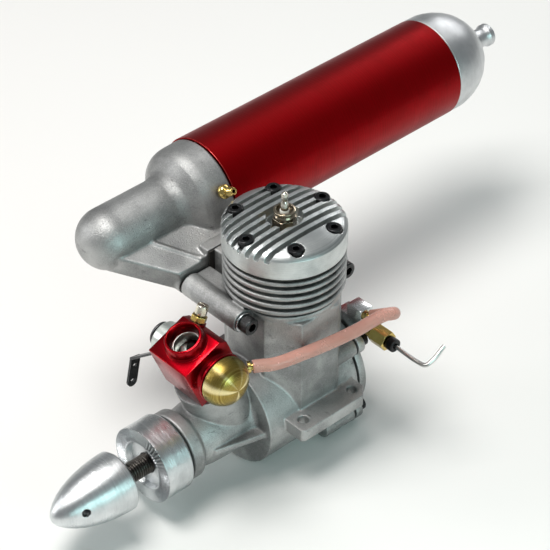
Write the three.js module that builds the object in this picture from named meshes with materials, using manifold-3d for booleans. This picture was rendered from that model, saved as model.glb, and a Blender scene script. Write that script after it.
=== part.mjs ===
// Two-stroke model glow engine with a front rotary carburettor, a tuned side muffler and a rear needle valve.
// Frame, in millimetres: the origin is where the crankshaft axis crosses the cylinder axis. +Z runs up the
// cylinder, the crankshaft runs along Y with the propeller end at -Y, and the exhaust side is -X.
import * as THREE from "three";
import { mergeVertices } from "three/addons/utils/BufferGeometryUtils.js";
import Module from "manifold-3d";

const wasm = await Module();
wasm.setup();

// Crank mechanism, at top dead centre.
const THROW = 12.2;
const ROD_LENGTH = 40;
const PIN_Z = THROW + ROD_LENGTH;
const BORE_R = 13.55;
const BIG_END_R = 4.7;
const ROD_RELIEF_R = 20.8;
const CROWN_RISE = 12.3;

// Crankcase.
const CHAMBER_R = 18.6;
const CHAMBER_OUTER_R = 21.8;
const CHAMBER_FRONT = -26.6;
const CASE_REAR = 19;
const CORNER_R = 23.4;
const CORNERS = [45, 135, 225, 315];
const CYLINDER_R = 18.9;
const DECK_Z = 66.4;
const FIN_COUNT = 6;
const FIN_PITCH = 3.4;
const FIN_THICK = 1.7;
const FIN_R = 23.2;
const LUG_HOLE_X = 26;
const LUG_HOLE_Y = [-14, 11];
const LUG_EDGE_X = 31.5;
const LUG_THICK = 5.4;
const STACK_X = -25.4;
const STACK_Z = 45.9;
const STACK_BOLT_Y = 24.5;

// Head.
const HEAD_R = 23.4;
const HEAD_LOW = 68.1;
const HEAD_BAND_TOP = 76.2;
const HEAD_CROWN = 79.9;
const HEAD_BOLT_R = 19;
const SLOT_COUNT = 9;
const SLOT_PITCH = 3.7;

// Nose of the crankshaft.
const WASHER_FACE = -71.4;
const WASHER_LENGTH = 13.2;
const WASHER_R = 15.5;
const NUT_BASE = -82.4;
const NUT_TIP = -113.9;
const NUT_R = 12.05;
const THREAD_R = 3.97;

// Carburettor block, raked forward about X.
const CARB_AT = [0, -44.5, 36.6];
const CARB_RAKE = THREE.MathUtils.degToRad(22);
const CARB_SIZE = 20.6;
const INTAKE_R = 5.4;
const ARM_LEAN = THREE.MathUtils.degToRad(11.6);

// Muffler, whose axis runs along Y.
const MUFFLER_X = -54;
const MUFFLER_Z = 59.6;
const MUFFLER_R = 20.9;
const TUBE_FRONT = 6.3;
const TUBE_REAR = 128.3;
const DUCT_R = 12.3;
const NOSE_Y = -40.2;
const TIP_Y = 166;

// Fuel line between the rear needle valve and the carburettor.
const VALVE_AT = [13.2, 27.2, 22];
const LINE_R = 2.5;
const BEND_R = 5.2;

const PAINT = {
  cast: { color: 0x8f9193, roughness: 0.62, metalness: 0.85 },
  machined: { color: 0xc4c8ca, roughness: 0.28, metalness: 1 },
  steel: { color: 0x8b8d90, roughness: 0.3, metalness: 1 },
  black: { color: 0x1b1b1d, roughness: 0.42, metalness: 0.8 },
  brass: { color: 0xa8842f, roughness: 0.3, metalness: 1 },
  red: { color: 0xb00512, roughness: 0.22, metalness: 0.6 },
  redTube: { color: 0x820009, roughness: 0.38, metalness: 0.6 },
  gasket: { color: 0x24211f, roughness: 0.8, metalness: 0 },
  ceramic: { color: 0xe6e0d4, roughness: 0.5, metalness: 0 },
  silicone: { color: 0xb9776b, roughness: 0.35, metalness: 0 },
};

const engine = new THREE.Group();

// A closed solid from a geometry, with its shared vertices merged.
function solid(geometry) {
  const bare = geometry.clone();
  bare.deleteAttribute("normal");
  bare.deleteAttribute("uv");
  const merged = mergeVertices(bare, 1e-4);
  return new wasm.Manifold(new wasm.Mesh({
    numProp: 3,
    vertProperties: new Float32Array(merged.attributes.position.array),
    triVerts: new Uint32Array(merged.index.array),
  }));
}

function geometryOf(body) {
  const mesh = body.getMesh();
  const geometry = new THREE.BufferGeometry();
  geometry.setAttribute("position", new THREE.BufferAttribute(new Float32Array(mesh.vertProperties), 3));
  geometry.setIndex(new THREE.BufferAttribute(new Uint32Array(mesh.triVerts), 1));
  geometry.computeVertexNormals();
  return geometry;
}

function put(name, body, paint) {
  const mesh = new THREE.Mesh(geometryOf(body), new THREE.MeshStandardMaterial(PAINT[paint]));
  mesh.name = name;
  engine.add(mesh);
  return mesh;
}

// Turns a shape made along +Y so that it runs along the direction, from the point.
function along(body, from, direction) {
  const turn = new THREE.Quaternion().setFromUnitVectors(
    new THREE.Vector3(0, 1, 0), new THREE.Vector3(...direction).normalize());
  const matrix = new THREE.Matrix4().compose(
    new THREE.Vector3(...from), turn, new THREE.Vector3(1, 1, 1));
  return body.transform(matrix.elements);
}

// A turned shape: [radius, distance] pairs from one end of its axis to the other.
function turned(profile, from, direction, sides = 18) {
  const points = profile.map(([r, d]) => new THREE.Vector2(r, d));
  return along(solid(new THREE.LatheGeometry(points, sides)), from, direction);
}

function rod(r, length, from, direction, sides = 18) {
  return turned([[0, 0], [r, 0], [r, length], [0, length]], from, direction, sides);
}

function ring(outer, inner, length, from, direction, sides = 18) {
  const profile = [[inner, 0], [outer, 0], [outer, length], [inner, length], [inner, 0]];
  return turned(profile, from, direction, sides);
}

function box(sx, sy, sz, at) {
  const geometry = new THREE.BoxGeometry(sx, sy, sz);
  geometry.translate(...at);
  return solid(geometry);
}

function hex(flats, length, from, direction) {
  const geometry = new THREE.CylinderGeometry(flats / Math.sqrt(3), flats / Math.sqrt(3), length, 6);
  geometry.translate(0, length / 2, 0);
  return along(solid(geometry), from, direction);
}

// An outline extruded upwards from a height.
function plate(outline, low, high) {
  const shape = new THREE.Shape(outline.map(([x, y]) => new THREE.Vector2(x, y)));
  const geometry = new THREE.ExtrudeGeometry(shape, { depth: high - low, bevelEnabled: false });
  geometry.translate(0, 0, low);
  return solid(geometry);
}

// A round bar or tube section swept along a smooth path.
function swept(points, r, steps, sides) {
  const path = new THREE.CatmullRomCurve3(points.map((p) => new THREE.Vector3(...p)), false, "centripetal");
  const section = new THREE.Shape();
  for (let i = 0; i < sides; i += 1) {
    const a = (i / sides) * Math.PI * 2;
    if (i === 0) section.moveTo(r, 0);
    else section.lineTo(r * Math.cos(a), r * Math.sin(a));
  }
  section.closePath();
  return solid(new THREE.ExtrudeGeometry(section, { steps, bevelEnabled: false, extrudePath: path }));
}

function union(bodies) {
  return bodies.reduce((sum, body) => sum.add(body));
}

const DOWN = [0, 0, -1];
const UP = [0, 0, 1];
const FRONT = [0, -1, 0];
const REAR = [0, 1, 0];
const RIGHT = [1, 0, 0];
const LEFT = [-1, 0, 0];
const polar = (r, degrees) => {
  const a = THREE.MathUtils.degToRad(degrees);
  return [r * Math.cos(a), r * Math.sin(a)];
};

// Directions of the raked carburettor: intakeUp along its bore, intakeBack across it towards the cylinder.
const intakeUp = [0, -Math.sin(CARB_RAKE), Math.cos(CARB_RAKE)];
const intakeBack = [0, Math.cos(CARB_RAKE), Math.sin(CARB_RAKE)];
const carbPoint = (x, back, up) => [
  CARB_AT[0] + x,
  CARB_AT[1] + back * intakeBack[1] + up * intakeUp[1],
  CARB_AT[2] + back * intakeBack[2] + up * intakeUp[2],
];
const carbTurn = (body) => body.transform(new THREE.Matrix4().compose(
  new THREE.Vector3(...CARB_AT),
  new THREE.Quaternion().setFromAxisAngle(new THREE.Vector3(1, 0, 0), CARB_RAKE),
  new THREE.Vector3(1, 1, 1)).elements);

// Crankcase: crank chamber, finned cylinder, front housing, beam lugs and exhaust stack in one casting.
{
  const sides = [[10, -19.4], [21.8, -11], [21.8, 7.4], [12, CASE_REAR - 0.6]];
  const outline = [...sides, ...sides.slice().reverse().map(([x, y]) => [-x, y])];
  const parts = [
    rod(CHAMBER_OUTER_R, CASE_REAR - CHAMBER_FRONT, [0, CHAMBER_FRONT, 0], REAR, 24),
    rod(CYLINDER_R, DECK_Z, [0, 0, 0], UP, 24),
    plate(outline, 0, 47),
    turned([[0, 0], [15.5, 0], [13.4, 2.5], [12.9, 18], [12, 24], [14.2, 26], [14.2, 30.6], [12.6, 31],
      [0, 31]], [0, CHAMBER_FRONT, 0], FRONT, 18),
    rod(12.3, 24, carbPoint(0, 0, -12.7 - 24), intakeUp, 16),
  ];
  for (let i = 0; i < FIN_COUNT; i += 1) {
    const top = DECK_Z - i * FIN_PITCH;
    parts.push(rod(i === FIN_COUNT - 1 ? FIN_R - 1.2 : FIN_R, FIN_THICK, [0, 0, top - FIN_THICK], UP, 24));
  }
  const lugFront = LUG_HOLE_Y[0] - 5;
  const lugRear = LUG_HOLE_Y[1] + 5;
  for (const side of [-1, 1]) {
    const lug = [[14, lugFront], [30.3, lugFront], [LUG_EDGE_X, lugFront + 1.2], [LUG_EDGE_X, lugRear - 4],
      [LUG_EDGE_X - 4, lugRear], [14, lugRear]].map(([x, y]) => [side * x, y]);
    parts.push(plate(side > 0 ? lug : lug.reverse(), 0, LUG_THICK));
    // Horizontal gusset between the front housing and the crank chamber.
    const web = [[4, -47], [13.4, -47], [19.2, -25.6], [4, -25.6]].map(([x, y]) => [side * x, y]);
    parts.push(plate(side > 0 ? web : web.reverse(), -1.2, 1.4));
  }
  // Corner bosses of the rear flange.
  for (const angle of CORNERS) {
    const [x, z] = polar(CORNER_R, angle);
    parts.push(rod(4.2, 15, [x, CASE_REAR - 15, z], REAR, 10));
  }
  // Exhaust stack with its two bolt ears.
  parts.push(box(16, 25, 18, [STACK_X + 8, 0, STACK_Z + 1.5]));
  for (const side of [-1, 1]) {
    parts.push(rod(4.7, 29.6, [STACK_X, side * STACK_BOLT_Y, STACK_Z], RIGHT, 12));
    parts.push(box(22, 9, 7, [STACK_X + 11, side * 19, STACK_Z]));
  }
  let body = union(parts);
  const cuts = [
    rod(CHAMBER_R, CASE_REAR + 21.3 + 5, [0, -21.3, 0], REAR, 24),
    rod(ROD_RELIEF_R, 9, [0, -4.5, 0], REAR, 48),
    rod(15.35, 80, [0, 0, 12], UP, 24),
    rod(17.2, 5, [0, 0, DECK_Z - 2.2], UP, 24),
    rod(13.4, 6, [0, -26.4, 0], REAR, 18),
    rod(8.9, 40, [0, -52, 0], REAR, 18),
    rod(11.4, 6.4, [0, -57.9, 0], REAR, 18),
    rod(8.3, 18, carbPoint(0, 0, -19.5), intakeUp, 14),
    rod(5.6, 18, carbPoint(0, 0, -32), intakeUp, 14),
    box(37.2, 10, 21, [0, 0, 10.5]),
    box(30, 15, 8.4, [STACK_X + 6, 0, STACK_Z - 0.6]),
    box(16, 12, 24, [12.6, 0, 31.5]),
  ];
  for (const x of [-LUG_HOLE_X, LUG_HOLE_X]) {
    for (const y of LUG_HOLE_Y) cuts.push(rod(2.1, 20, [x, y, -5], UP, 12));
  }
  for (const side of [-1, 1]) {
    cuts.push(rod(2.25, 40, [STACK_X - 2, side * STACK_BOLT_Y, STACK_Z], RIGHT, 10));
    cuts.push(rod(5, 12, [STACK_X + 29.6, side * STACK_BOLT_Y, STACK_Z], RIGHT, 14));
  }
  for (let i = 0; i < 6; i += 1) {
    const [x, y] = polar(HEAD_BOLT_R, 30 + i * 60);
    cuts.push(rod(1.9, 14, [x, y, DECK_Z - 12], UP, 8));
  }
  for (const angle of CORNERS) {
    const [x, z] = polar(CORNER_R, angle);
    cuts.push(rod(1.65, 20, [x, CASE_REAR - 12, z], REAR, 8));
  }
  for (const cut of cuts) body = body.subtract(cut);
  put("crankcase", body, "cast");
}

// Cylinder liner with its exhaust, boost and transfer ports.
{
  let liner = turned([[BORE_R, 0], [15.2, 0], [15.2, 43.4], [17, 43.4], [17, 45.4], [BORE_R, 45.4],
    [BORE_R, 0]], [0, 0, 21], UP, 24);
  liner = liner.subtract(box(12, 14, 7.6, [-15, 0, STACK_Z - 0.6]));
  liner = liner.subtract(box(12, 9, 4.6, [15, 0, 43]));
  for (const side of [-1, 1]) liner = liner.subtract(box(9, 12, 4.6, [0, side * 15, 43]));
  put("cylinder_liner", liner, "steel");
}

// Piston, its wrist pin with a soft pad at each end, and the connecting rod.
{
  let piston = rod(13.47, CROWN_RISE + 9, [0, 0, PIN_Z - 9], UP, 24);
  piston = piston.subtract(rod(11.6, CROWN_RISE + 6, [0, 0, PIN_Z - 10], UP, 18));
  for (const side of [-1, 1]) {
    piston = piston.add(rod(5, 7.6, [0, side * 12.2, PIN_Z], side > 0 ? FRONT : REAR, 12));
  }
  piston = piston.subtract(rod(3.1, 40, [0, -20, PIN_Z], REAR, 16));
  put("piston", piston, "machined");
  put("wrist_pin", ring(3, 1.6, 24.6, [0, -12.3, PIN_Z], REAR, 12), "steel");

  let conrod = ring(BIG_END_R, 3.2, 6.6, [0, -3.3, THROW], REAR, 16);
  conrod = conrod.add(ring(4.9, 3.08, 6.6, [0, -3.3, PIN_Z], REAR, 16));
  conrod = conrod.add(box(5, 4.2, ROD_LENGTH - 9, [0, 0, THROW + ROD_LENGTH / 2])
    .subtract(rod(4.4, 12, [0, -6, PIN_Z], REAR, 14)));
  put("connecting_rod", conrod, "machined");
}

// Crankshaft: counterweighted web, short crankpin, hollow main journal with the intake window, threaded nose.
{
  const discBack = -12.6;
  const discFront = -21;
  let shaft = turned([[0, 0], [17.9, 0], [17.9, 8.4], [8.5, 8.4], [8.5, 14.6], [8.1, 15], [8.1, 38.4],
    [4.98, 39], [4.98, 45.2], [THREAD_R, 45.4], [THREAD_R, 88.2], [3.3, 89.2], [0, 89.2]],
  [0, discBack, 0], FRONT, 22);
  for (const side of [-1, 1]) {
    shaft = shaft.subtract(box(16, 12, 20, [side * 18.2, (discBack + discFront) / 2, 11.2]));
  }
  shaft = shaft.add(rod(3, 8.7, [0, discBack - 0.6, THROW], REAR, 12));
  shaft = shaft.subtract(rod(5.2, 34, [0, discBack + 1, 0], FRONT, 12));
  shaft = shaft.subtract(box(9.4, 10, 12, [0, -37, 6.4]));
  put("crankshaft", shaft, "steel");
  put("rear_bearing", ring(13, 8.6, 4.8, [0, -26.3, 0], REAR, 24), "steel");
  put("front_bearing", ring(11, 5.1, 5.8, [0, -57.6, 0], REAR, 24), "steel");
}

// Drive washer, recessed round the thread; the propeller sits on its flat ring.
{
  const washer = turned([[4.3, 0], [13.9, 0], [WASHER_R, 1.2], [WASHER_R, WASHER_LENGTH],
    [9.64, WASHER_LENGTH], [8.9, 10.7], [4.3, 10.7], [4.3, 0]],
  [0, WASHER_FACE + WASHER_LENGTH, 0], FRONT, 24);
  put("drive_washer", washer, "machined");
}

// Spinner nut, unscrewed far enough to leave room for a propeller hub.
{
  let nut = turned([[0, 0], [11.3, 0], [NUT_R, 0.8], [NUT_R, 5], [11, 13.6], [8.9, 20.6],
    [5.8, 26.8], [2.4, 30.9], [0, NUT_BASE - NUT_TIP]], [0, NUT_BASE, 0], FRONT, 22);
  nut = nut.subtract(rod(THREAD_R + 0.3, 22, [0, NUT_BASE + 1, 0], FRONT, 14));
  nut = nut.subtract(rod(1.6, 30, [-14.1, -104, -5], [0.943, 0, 0.333], 10));
  put("spinner_nut", nut, "machined");
}

// Backplate with a plug that closes the crank chamber, its gasket and its four socket screws.
{
  const flange = [];
  for (const angle of CORNERS) {
    const [x, z] = polar(CORNER_R, angle);
    flange.push(rod(4.2, 3.4, [x, CASE_REAR + 0.9, z], REAR, 10));
  }
  flange.push(rod(CHAMBER_OUTER_R, 3.4, [0, CASE_REAR + 0.9, 0], REAR, 24));
  flange.push(rod(CHAMBER_R - 0.3, 9, [0, 12, 0], REAR, 24));
  let backplate = union(flange);
  backplate = backplate.subtract(rod(15.5, 8, [0, 10, 0], REAR, 18));
  const gasket = ring(CHAMBER_R + 0.9, CHAMBER_R + 0.1, 0.5, [0, CASE_REAR + 0.2, 0], REAR, 24);
  CORNERS.forEach((angle, i) => {
    const [x, z] = polar(CORNER_R, angle);
    const hole = rod(1.7, 20, [x, CASE_REAR - 3, z], REAR, 8);
    backplate = backplate.subtract(hole);
    const screw = turned([[0, 0], [1.45, 0], [1.45, 13.4], [2.7, 13.4], [2.7, 16.4], [0, 16.4]],
      [x, CASE_REAR - 8.9, z], REAR, 8);
    put(`backplate_screw_${i + 1}`, screw, "black");
  });
  put("backplate", backplate, "cast");
  put("backplate_gasket", gasket, "gasket");
}

// Cylinder head: crowned, with milled cooling slots, a spot-faced plug seat and six counterbored bolt holes.
{
  const foot = 65.2;
  let head = turned([[0, 0], [BORE_R - 0.3, 0], [BORE_R - 0.3, HEAD_LOW - foot], [HEAD_R - 0.3, HEAD_LOW - foot],
    [HEAD_R, HEAD_LOW - foot + 0.3], [HEAD_R, HEAD_BAND_TOP - foot], [21.2, 13.4], [0, HEAD_CROWN - foot]],
  [0, 0, foot], UP, 28);
  for (let i = 0; i < SLOT_COUNT; i += 1) {
    const x = -17.4 + i * SLOT_PITCH;
    head = head.subtract(box(1.9, 60, 8, [x, 0, 79.2]));
  }
  head = head.add(rod(8, 6, [0, 0, 70], UP, 18));
  head = head.subtract(rod(7, 9, [0, 0, 73.3], UP, 18));
  head = head.subtract(rod(3.3, 20, [0, 0, 60], UP, 14));
  head = head.subtract(turned([[0, 0], [9.5, 0], [7.4, 2.6], [3.6, 3.8], [0, 3.8]], [0, 0, 65.1], UP, 14));
  for (let i = 0; i < 6; i += 1) {
    const [x, y] = polar(HEAD_BOLT_R, 30 + i * 60);
    head = head.add(rod(4, 5.6, [x, y, 70.6], UP, 12));
    head = head.subtract(rod(3.25, 8, [x, y, 76], UP, 12));
    head = head.subtract(rod(1.9, 20, [x, y, 60], UP, 8));
    const bolt = turned([[0, 0], [1.7, 0], [1.7, 19], [2.85, 19], [2.85, 22], [0, 22]], [x, y, 57.2], UP, 8);
    put(`head_bolt_${i + 1}`, bolt, "black");
  }
  head = head.intersect(rod(HEAD_R, 30, [0, 0, 60], UP, 28));
  put("cylinder_head", head, "machined");
  let gasket = ring(22.2, 13.8, 1, [0, 0, DECK_Z + 0.3], UP, 24);
  for (let i = 0; i < 6; i += 1) {
    const [x, y] = polar(HEAD_BOLT_R, 30 + i * 60);
    gasket = gasket.subtract(rod(1.9, 4, [x, y, DECK_Z - 1], UP, 8));
  }
  put("head_gasket", gasket, "gasket");
}

// Glow plug: hexagonal body screwed into the head, an insulated post in its middle, and a copper washer.
{
  let plug = hex(8, 5, [0, 0, 74.4], UP);
  plug = plug.add(turned([[0, 0], [2.9, 0], [2.9, 6.4], [3.05, 14.1], [4.1, 14.1], [4.1, 15], [3.6, 15.6],
    [4.2, 16.4], [4.2, 17.2], [3.2, 17.4], [3.2, 15.8], [0, 15.8]], [0, 0, 65.6], UP, 14));
  plug = plug.subtract(rod(2, 24, [0, 0, 66.6], UP, 10));
  put("glow_plug_body", plug, "steel");
  put("glow_plug_washer", ring(4.9, 3.3, 0.7, [0, 0, 73.5], UP, 14), "brass");
  const insulator = ring(1.75, 1, 13.5, [0, 0, 69.2], UP, 10);
  put("glow_plug_insulator", insulator, "ceramic");
  put("glow_plug_post", turned([[0, 0], [0.85, 0], [0.85, 14.2], [1.5, 14.2], [1.5, 17], [1, 18], [1.4, 19.4],
    [1.2, 21.4], [0, 21.8]], [0, 0, 68.8], UP, 10), "brass");
}

// Carburettor body: a raked square block with a round intake neck above and a spigot into the front housing.
{
  const h = CARB_SIZE / 2;
  const c = 2.6;
  const section = [[-h, -h], [h, -h], [h, h - c], [h - c, h], [-h, h]];
  const shape = new THREE.Shape(section.map(([a, b]) => new THREE.Vector2(a, b)));
  const block = new THREE.ExtrudeGeometry(shape, { depth: CARB_SIZE, bevelEnabled: false });
  block.translate(0, 0, -h);
  block.applyMatrix4(new THREE.Matrix4().set(0, 0, 1, 0, 1, 0, 0, 0, 0, 1, 0, 0, 0, 0, 0, 1));
  let body = solid(block);
  body = body.add(turned([[0, 0], [7.6, 0], [7.25, 4.4], [6.9, 4.7], [0, 4.7]], [0, 0, h - 0.1], UP, 16));
  body = body.add(turned([[0, 0], [7.9, 0], [7.9, 6.6], [9.2, 6.6], [9.2, 9], [0, 9]],
    [0, 0, -h - 8.4], UP, 16));
  body = body.add(turned([[0, 0], [9.4, 0], [7.2, 1.4], [7.6, 2.8], [9.9, 3.6], [9.9, 4.4], [0, 4.4]],
    [h - 0.1, 0, 0], RIGHT, 16));
  body = body.add(turned([[0, 0], [7.6, 0], [6, 1.2], [6, 7.4], [0, 7.4]], [-h + 0.1, 0, 0], LEFT, 16));
  body = body.add(rod(3.2, 5, [-4, 6, 6], [0, 1, 1], 10));
  body = body.subtract(turned([[0, 0], [INTAKE_R + 1.2, 0], [INTAKE_R, 3], [INTAKE_R - 0.4, 18],
    [INTAKE_R, 40], [0, 40]], [0, 0, 15.2], DOWN, 14));
  body = body.subtract(rod(4.85, 60, [-22, 0, 0], RIGHT, 20));
  body = body.subtract(rod(1.9, 14, [-4, 3, 3], [0, 1, 1], 8));
  put("carburettor_body", carbTurn(body), "red");

  // Throttle barrel with its through hole, in line with the intake.
  let barrel = turned([[0, 0], [4.74, 0], [4.74, 30.6], [0, 30.6]], [-h - 8.2, 0, 0], RIGHT, 14);
  barrel = barrel.subtract(rod(4.1, 20, [0, 0, -10], UP, 12));
  barrel = barrel.subtract(rod(1.2, 5, [-h - 9, 0, 0], RIGHT, 8));
  put("throttle_barrel", carbTurn(barrel), "machined");

  // Throttle arm: a flat hub, a step outwards and a straight leg with cable holes.
  const x = -h - 8.6;
  const hubX = x - 0.45;
  let arm = union([
    rod(5.6, 0.9, [x, 0, 0], LEFT, 14),
    box(0.9, 5, 8, [hubX, 0, -4.6]),
    box(0.9, 5, 15.2, [0, 0, 0]).rotate([0, 51.7, 0]).translate([hubX - 5.7, 0, -12.6]),
    box(0.9, 4.6, 13.6, [hubX - 11.5, 0, -23.5]),
  ]);
  arm = arm.subtract(rod(1.3, 6, [x + 2, 0, 0], LEFT, 10));
  for (const z of [-20.6, -27.6]) arm = arm.subtract(rod(0.85, 6, [x - 8.5, 0, z], LEFT, 10));
  const lean = new THREE.Matrix4().makeTranslation(...CARB_AT)
    .multiply(new THREE.Matrix4().makeRotationX(-ARM_LEAN));
  put("throttle_arm", arm.transform(lean.elements), "steel");
  put("throttle_arm_screw", turned([[0, 0], [1, 0], [1, 4.6], [2.4, 4.6], [2.4, 5.8], [1.9, 6.3], [0, 6.3]],
    [x + 3.4, CARB_AT[1], CARB_AT[2]], LEFT, 8), "steel");

  // Brass cap over the barrel's far end, with the fuel inlet on its collar.
  put("carburettor_cap", carbTurn(turned([[0, 0], [9.7, 0], [9.7, 2.6], [9.2, 4.6], [8, 6.4], [6, 7.9],
    [3.2, 8.8], [0, 9.1]], [h + 4.7, 0, 0], RIGHT, 18)), "brass");
  put("idle_stop_nut", carbTurn(hex(5.4, 2.2, [-4, 9.9, 9.9], [0, 1, 1])
    .subtract(rod(1.75, 6, [-4, 8.9, 8.9], [0, 1, 1], 8))), "brass");
  put("idle_stop_screw", carbTurn(turned([[0, 0], [1.5, 0], [1.5, 8.2], [2.3, 8.2], [2.3, 12], [0, 12]],
    [-4, 6, 6], [0, 1, 1], 8).subtract(box(6, 0.8, 2.4, [0, 0, 0]).rotate([-45, 0, 0])
    .translate([-4, 6 + 12 * Math.SQRT1_2, 6 + 12 * Math.SQRT1_2]))), "brass");
}

// Rear needle valve: an aluminium block on the backplate, the brass needle body and the bent wire needle.
{
  const [vx, vy, vz] = VALVE_AT;
  let block = box(8, 6.4, 10, [vx, vy, vz + 3.6]).add(box(7.6, 6.4, 20.4, [vx - 5.4, vy, vz - 6.8]));
  block = block.subtract(rod(2.6, 30, [vx - 8, vy, vz], RIGHT, 10));
  block = block.subtract(rod(1.5, 16, [vx - 5.4, vy - 8, vz - 12], REAR, 10));
  put("needle_valve_block", block, "machined");
  put("needle_valve_screw", turned([[0, 0], [1.3, 0], [1.3, 6.9], [2.6, 6.9], [2.6, 9.2], [2.2, 9.6],
    [0, 9.6]], [vx - 5.4, vy - 3.4, vz - 12], REAR, 8), "black");
  let needleBody = hex(7, 7.4, [vx + 8.6, vy, vz], RIGHT);
  needleBody = needleBody.add(rod(3, 4.4, [vx + 4.4, vy, vz], RIGHT, 12));
  needleBody = needleBody.add(rod(2.45, 10, [vx - 3, vy, vz], RIGHT, 12));
  needleBody = needleBody.subtract(rod(1.1, 30, [vx - 1, vy, vz], RIGHT, 10));
  put("needle_valve_body", needleBody, "brass");
  put("needle_collar", ring(2.7, 1.2, 3.4, [vx + 16.3, vy, vz], RIGHT, 12), "black");
  const elbow = [vx + 36, vy, vz];
  put("needle", swept([[vx + 3, vy, vz], [vx + 18, vy, vz], [elbow[0] - 2.4, vy, vz],
    [elbow[0] - 0.5, vy + 0.7, vz + 0.4], [elbow[0], vy + 2.4, vz + 1.3], [elbow[0], vy + 9.3, vz + 5.1]],
  0.85, 16, 8), "steel");
}

// Fuel fittings: a barbed inlet on the carburettor's collar and a barbed outlet on the needle valve block.
function nipple(name, from, direction, length, stub) {
  const barbs = [[0, 0], [2.3, 0], [2.3, 1.2], [1.3, 1.4]];
  for (let d = 2.6; d < length - 0.8; d += 1.6) barbs.push([1.7, d], [1.3, d + 1.4]);
  barbs.push([1.1, length], [0.6, length], [0.6, length - 4], [0, length - 4]);
  let body = turned(barbs, from, direction, 10);
  if (stub) body = body.add(rod(2, 1.7, [from[0] + 0.3, from[1] + 0.6, from[2]], LEFT, 10));
  put(name, body, "brass");
}
const inletFrom = [16, -33.1, 36.2];
const inletTo = [0.54, 0.84, 0];
nipple("carburettor_fuel_nipple", inletFrom, inletTo, 8.4, false);
const outletFrom = [18.9, 24.9, 29.2];
const outletTo = [0.767, 0.548, 0.334];
nipple("needle_valve_nipple", outletFrom, outletTo, 7, true);

// Silicone fuel line, pushed over both barbed nipples.
{
  const on = (from, to, d) => from.map((v, i) => v + to[i] * d);
  // The line leaves the rear nipple in a tight bend that turns it forwards.
  const bend = [0.316, -0.775, 0.547];
  const turn = (degrees) => {
    const a = THREE.MathUtils.degToRad(degrees);
    return on(outletFrom, outletTo, 7.6).map(
      (v, i) => v + BEND_R * (outletTo[i] * Math.sin(a) + bend[i] * (1 - Math.cos(a))));
  };
  const route = [
    on(inletFrom, inletTo, 2), on(inletFrom, inletTo, 6), on(inletFrom, inletTo, 9.6),
    [24.3, -14.4, 36.5], [26.8, -1.6, 36.6], [28.4, 10, 36.8],
    turn(140), turn(105), turn(70), turn(35), turn(0),
    on(outletFrom, outletTo, 5), on(outletFrom, outletTo, 2),
  ];
  let line = swept(route, LINE_R, 36, 8);
  line = line.subtract(rod(1.9, 8, on(inletFrom, inletTo, 1.6), inletTo, 8));
  line = line.subtract(rod(1.9, 7, on(outletFrom, outletTo, 1.6), outletTo, 8));
  put("fuel_line", line, "silicone");
}

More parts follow.
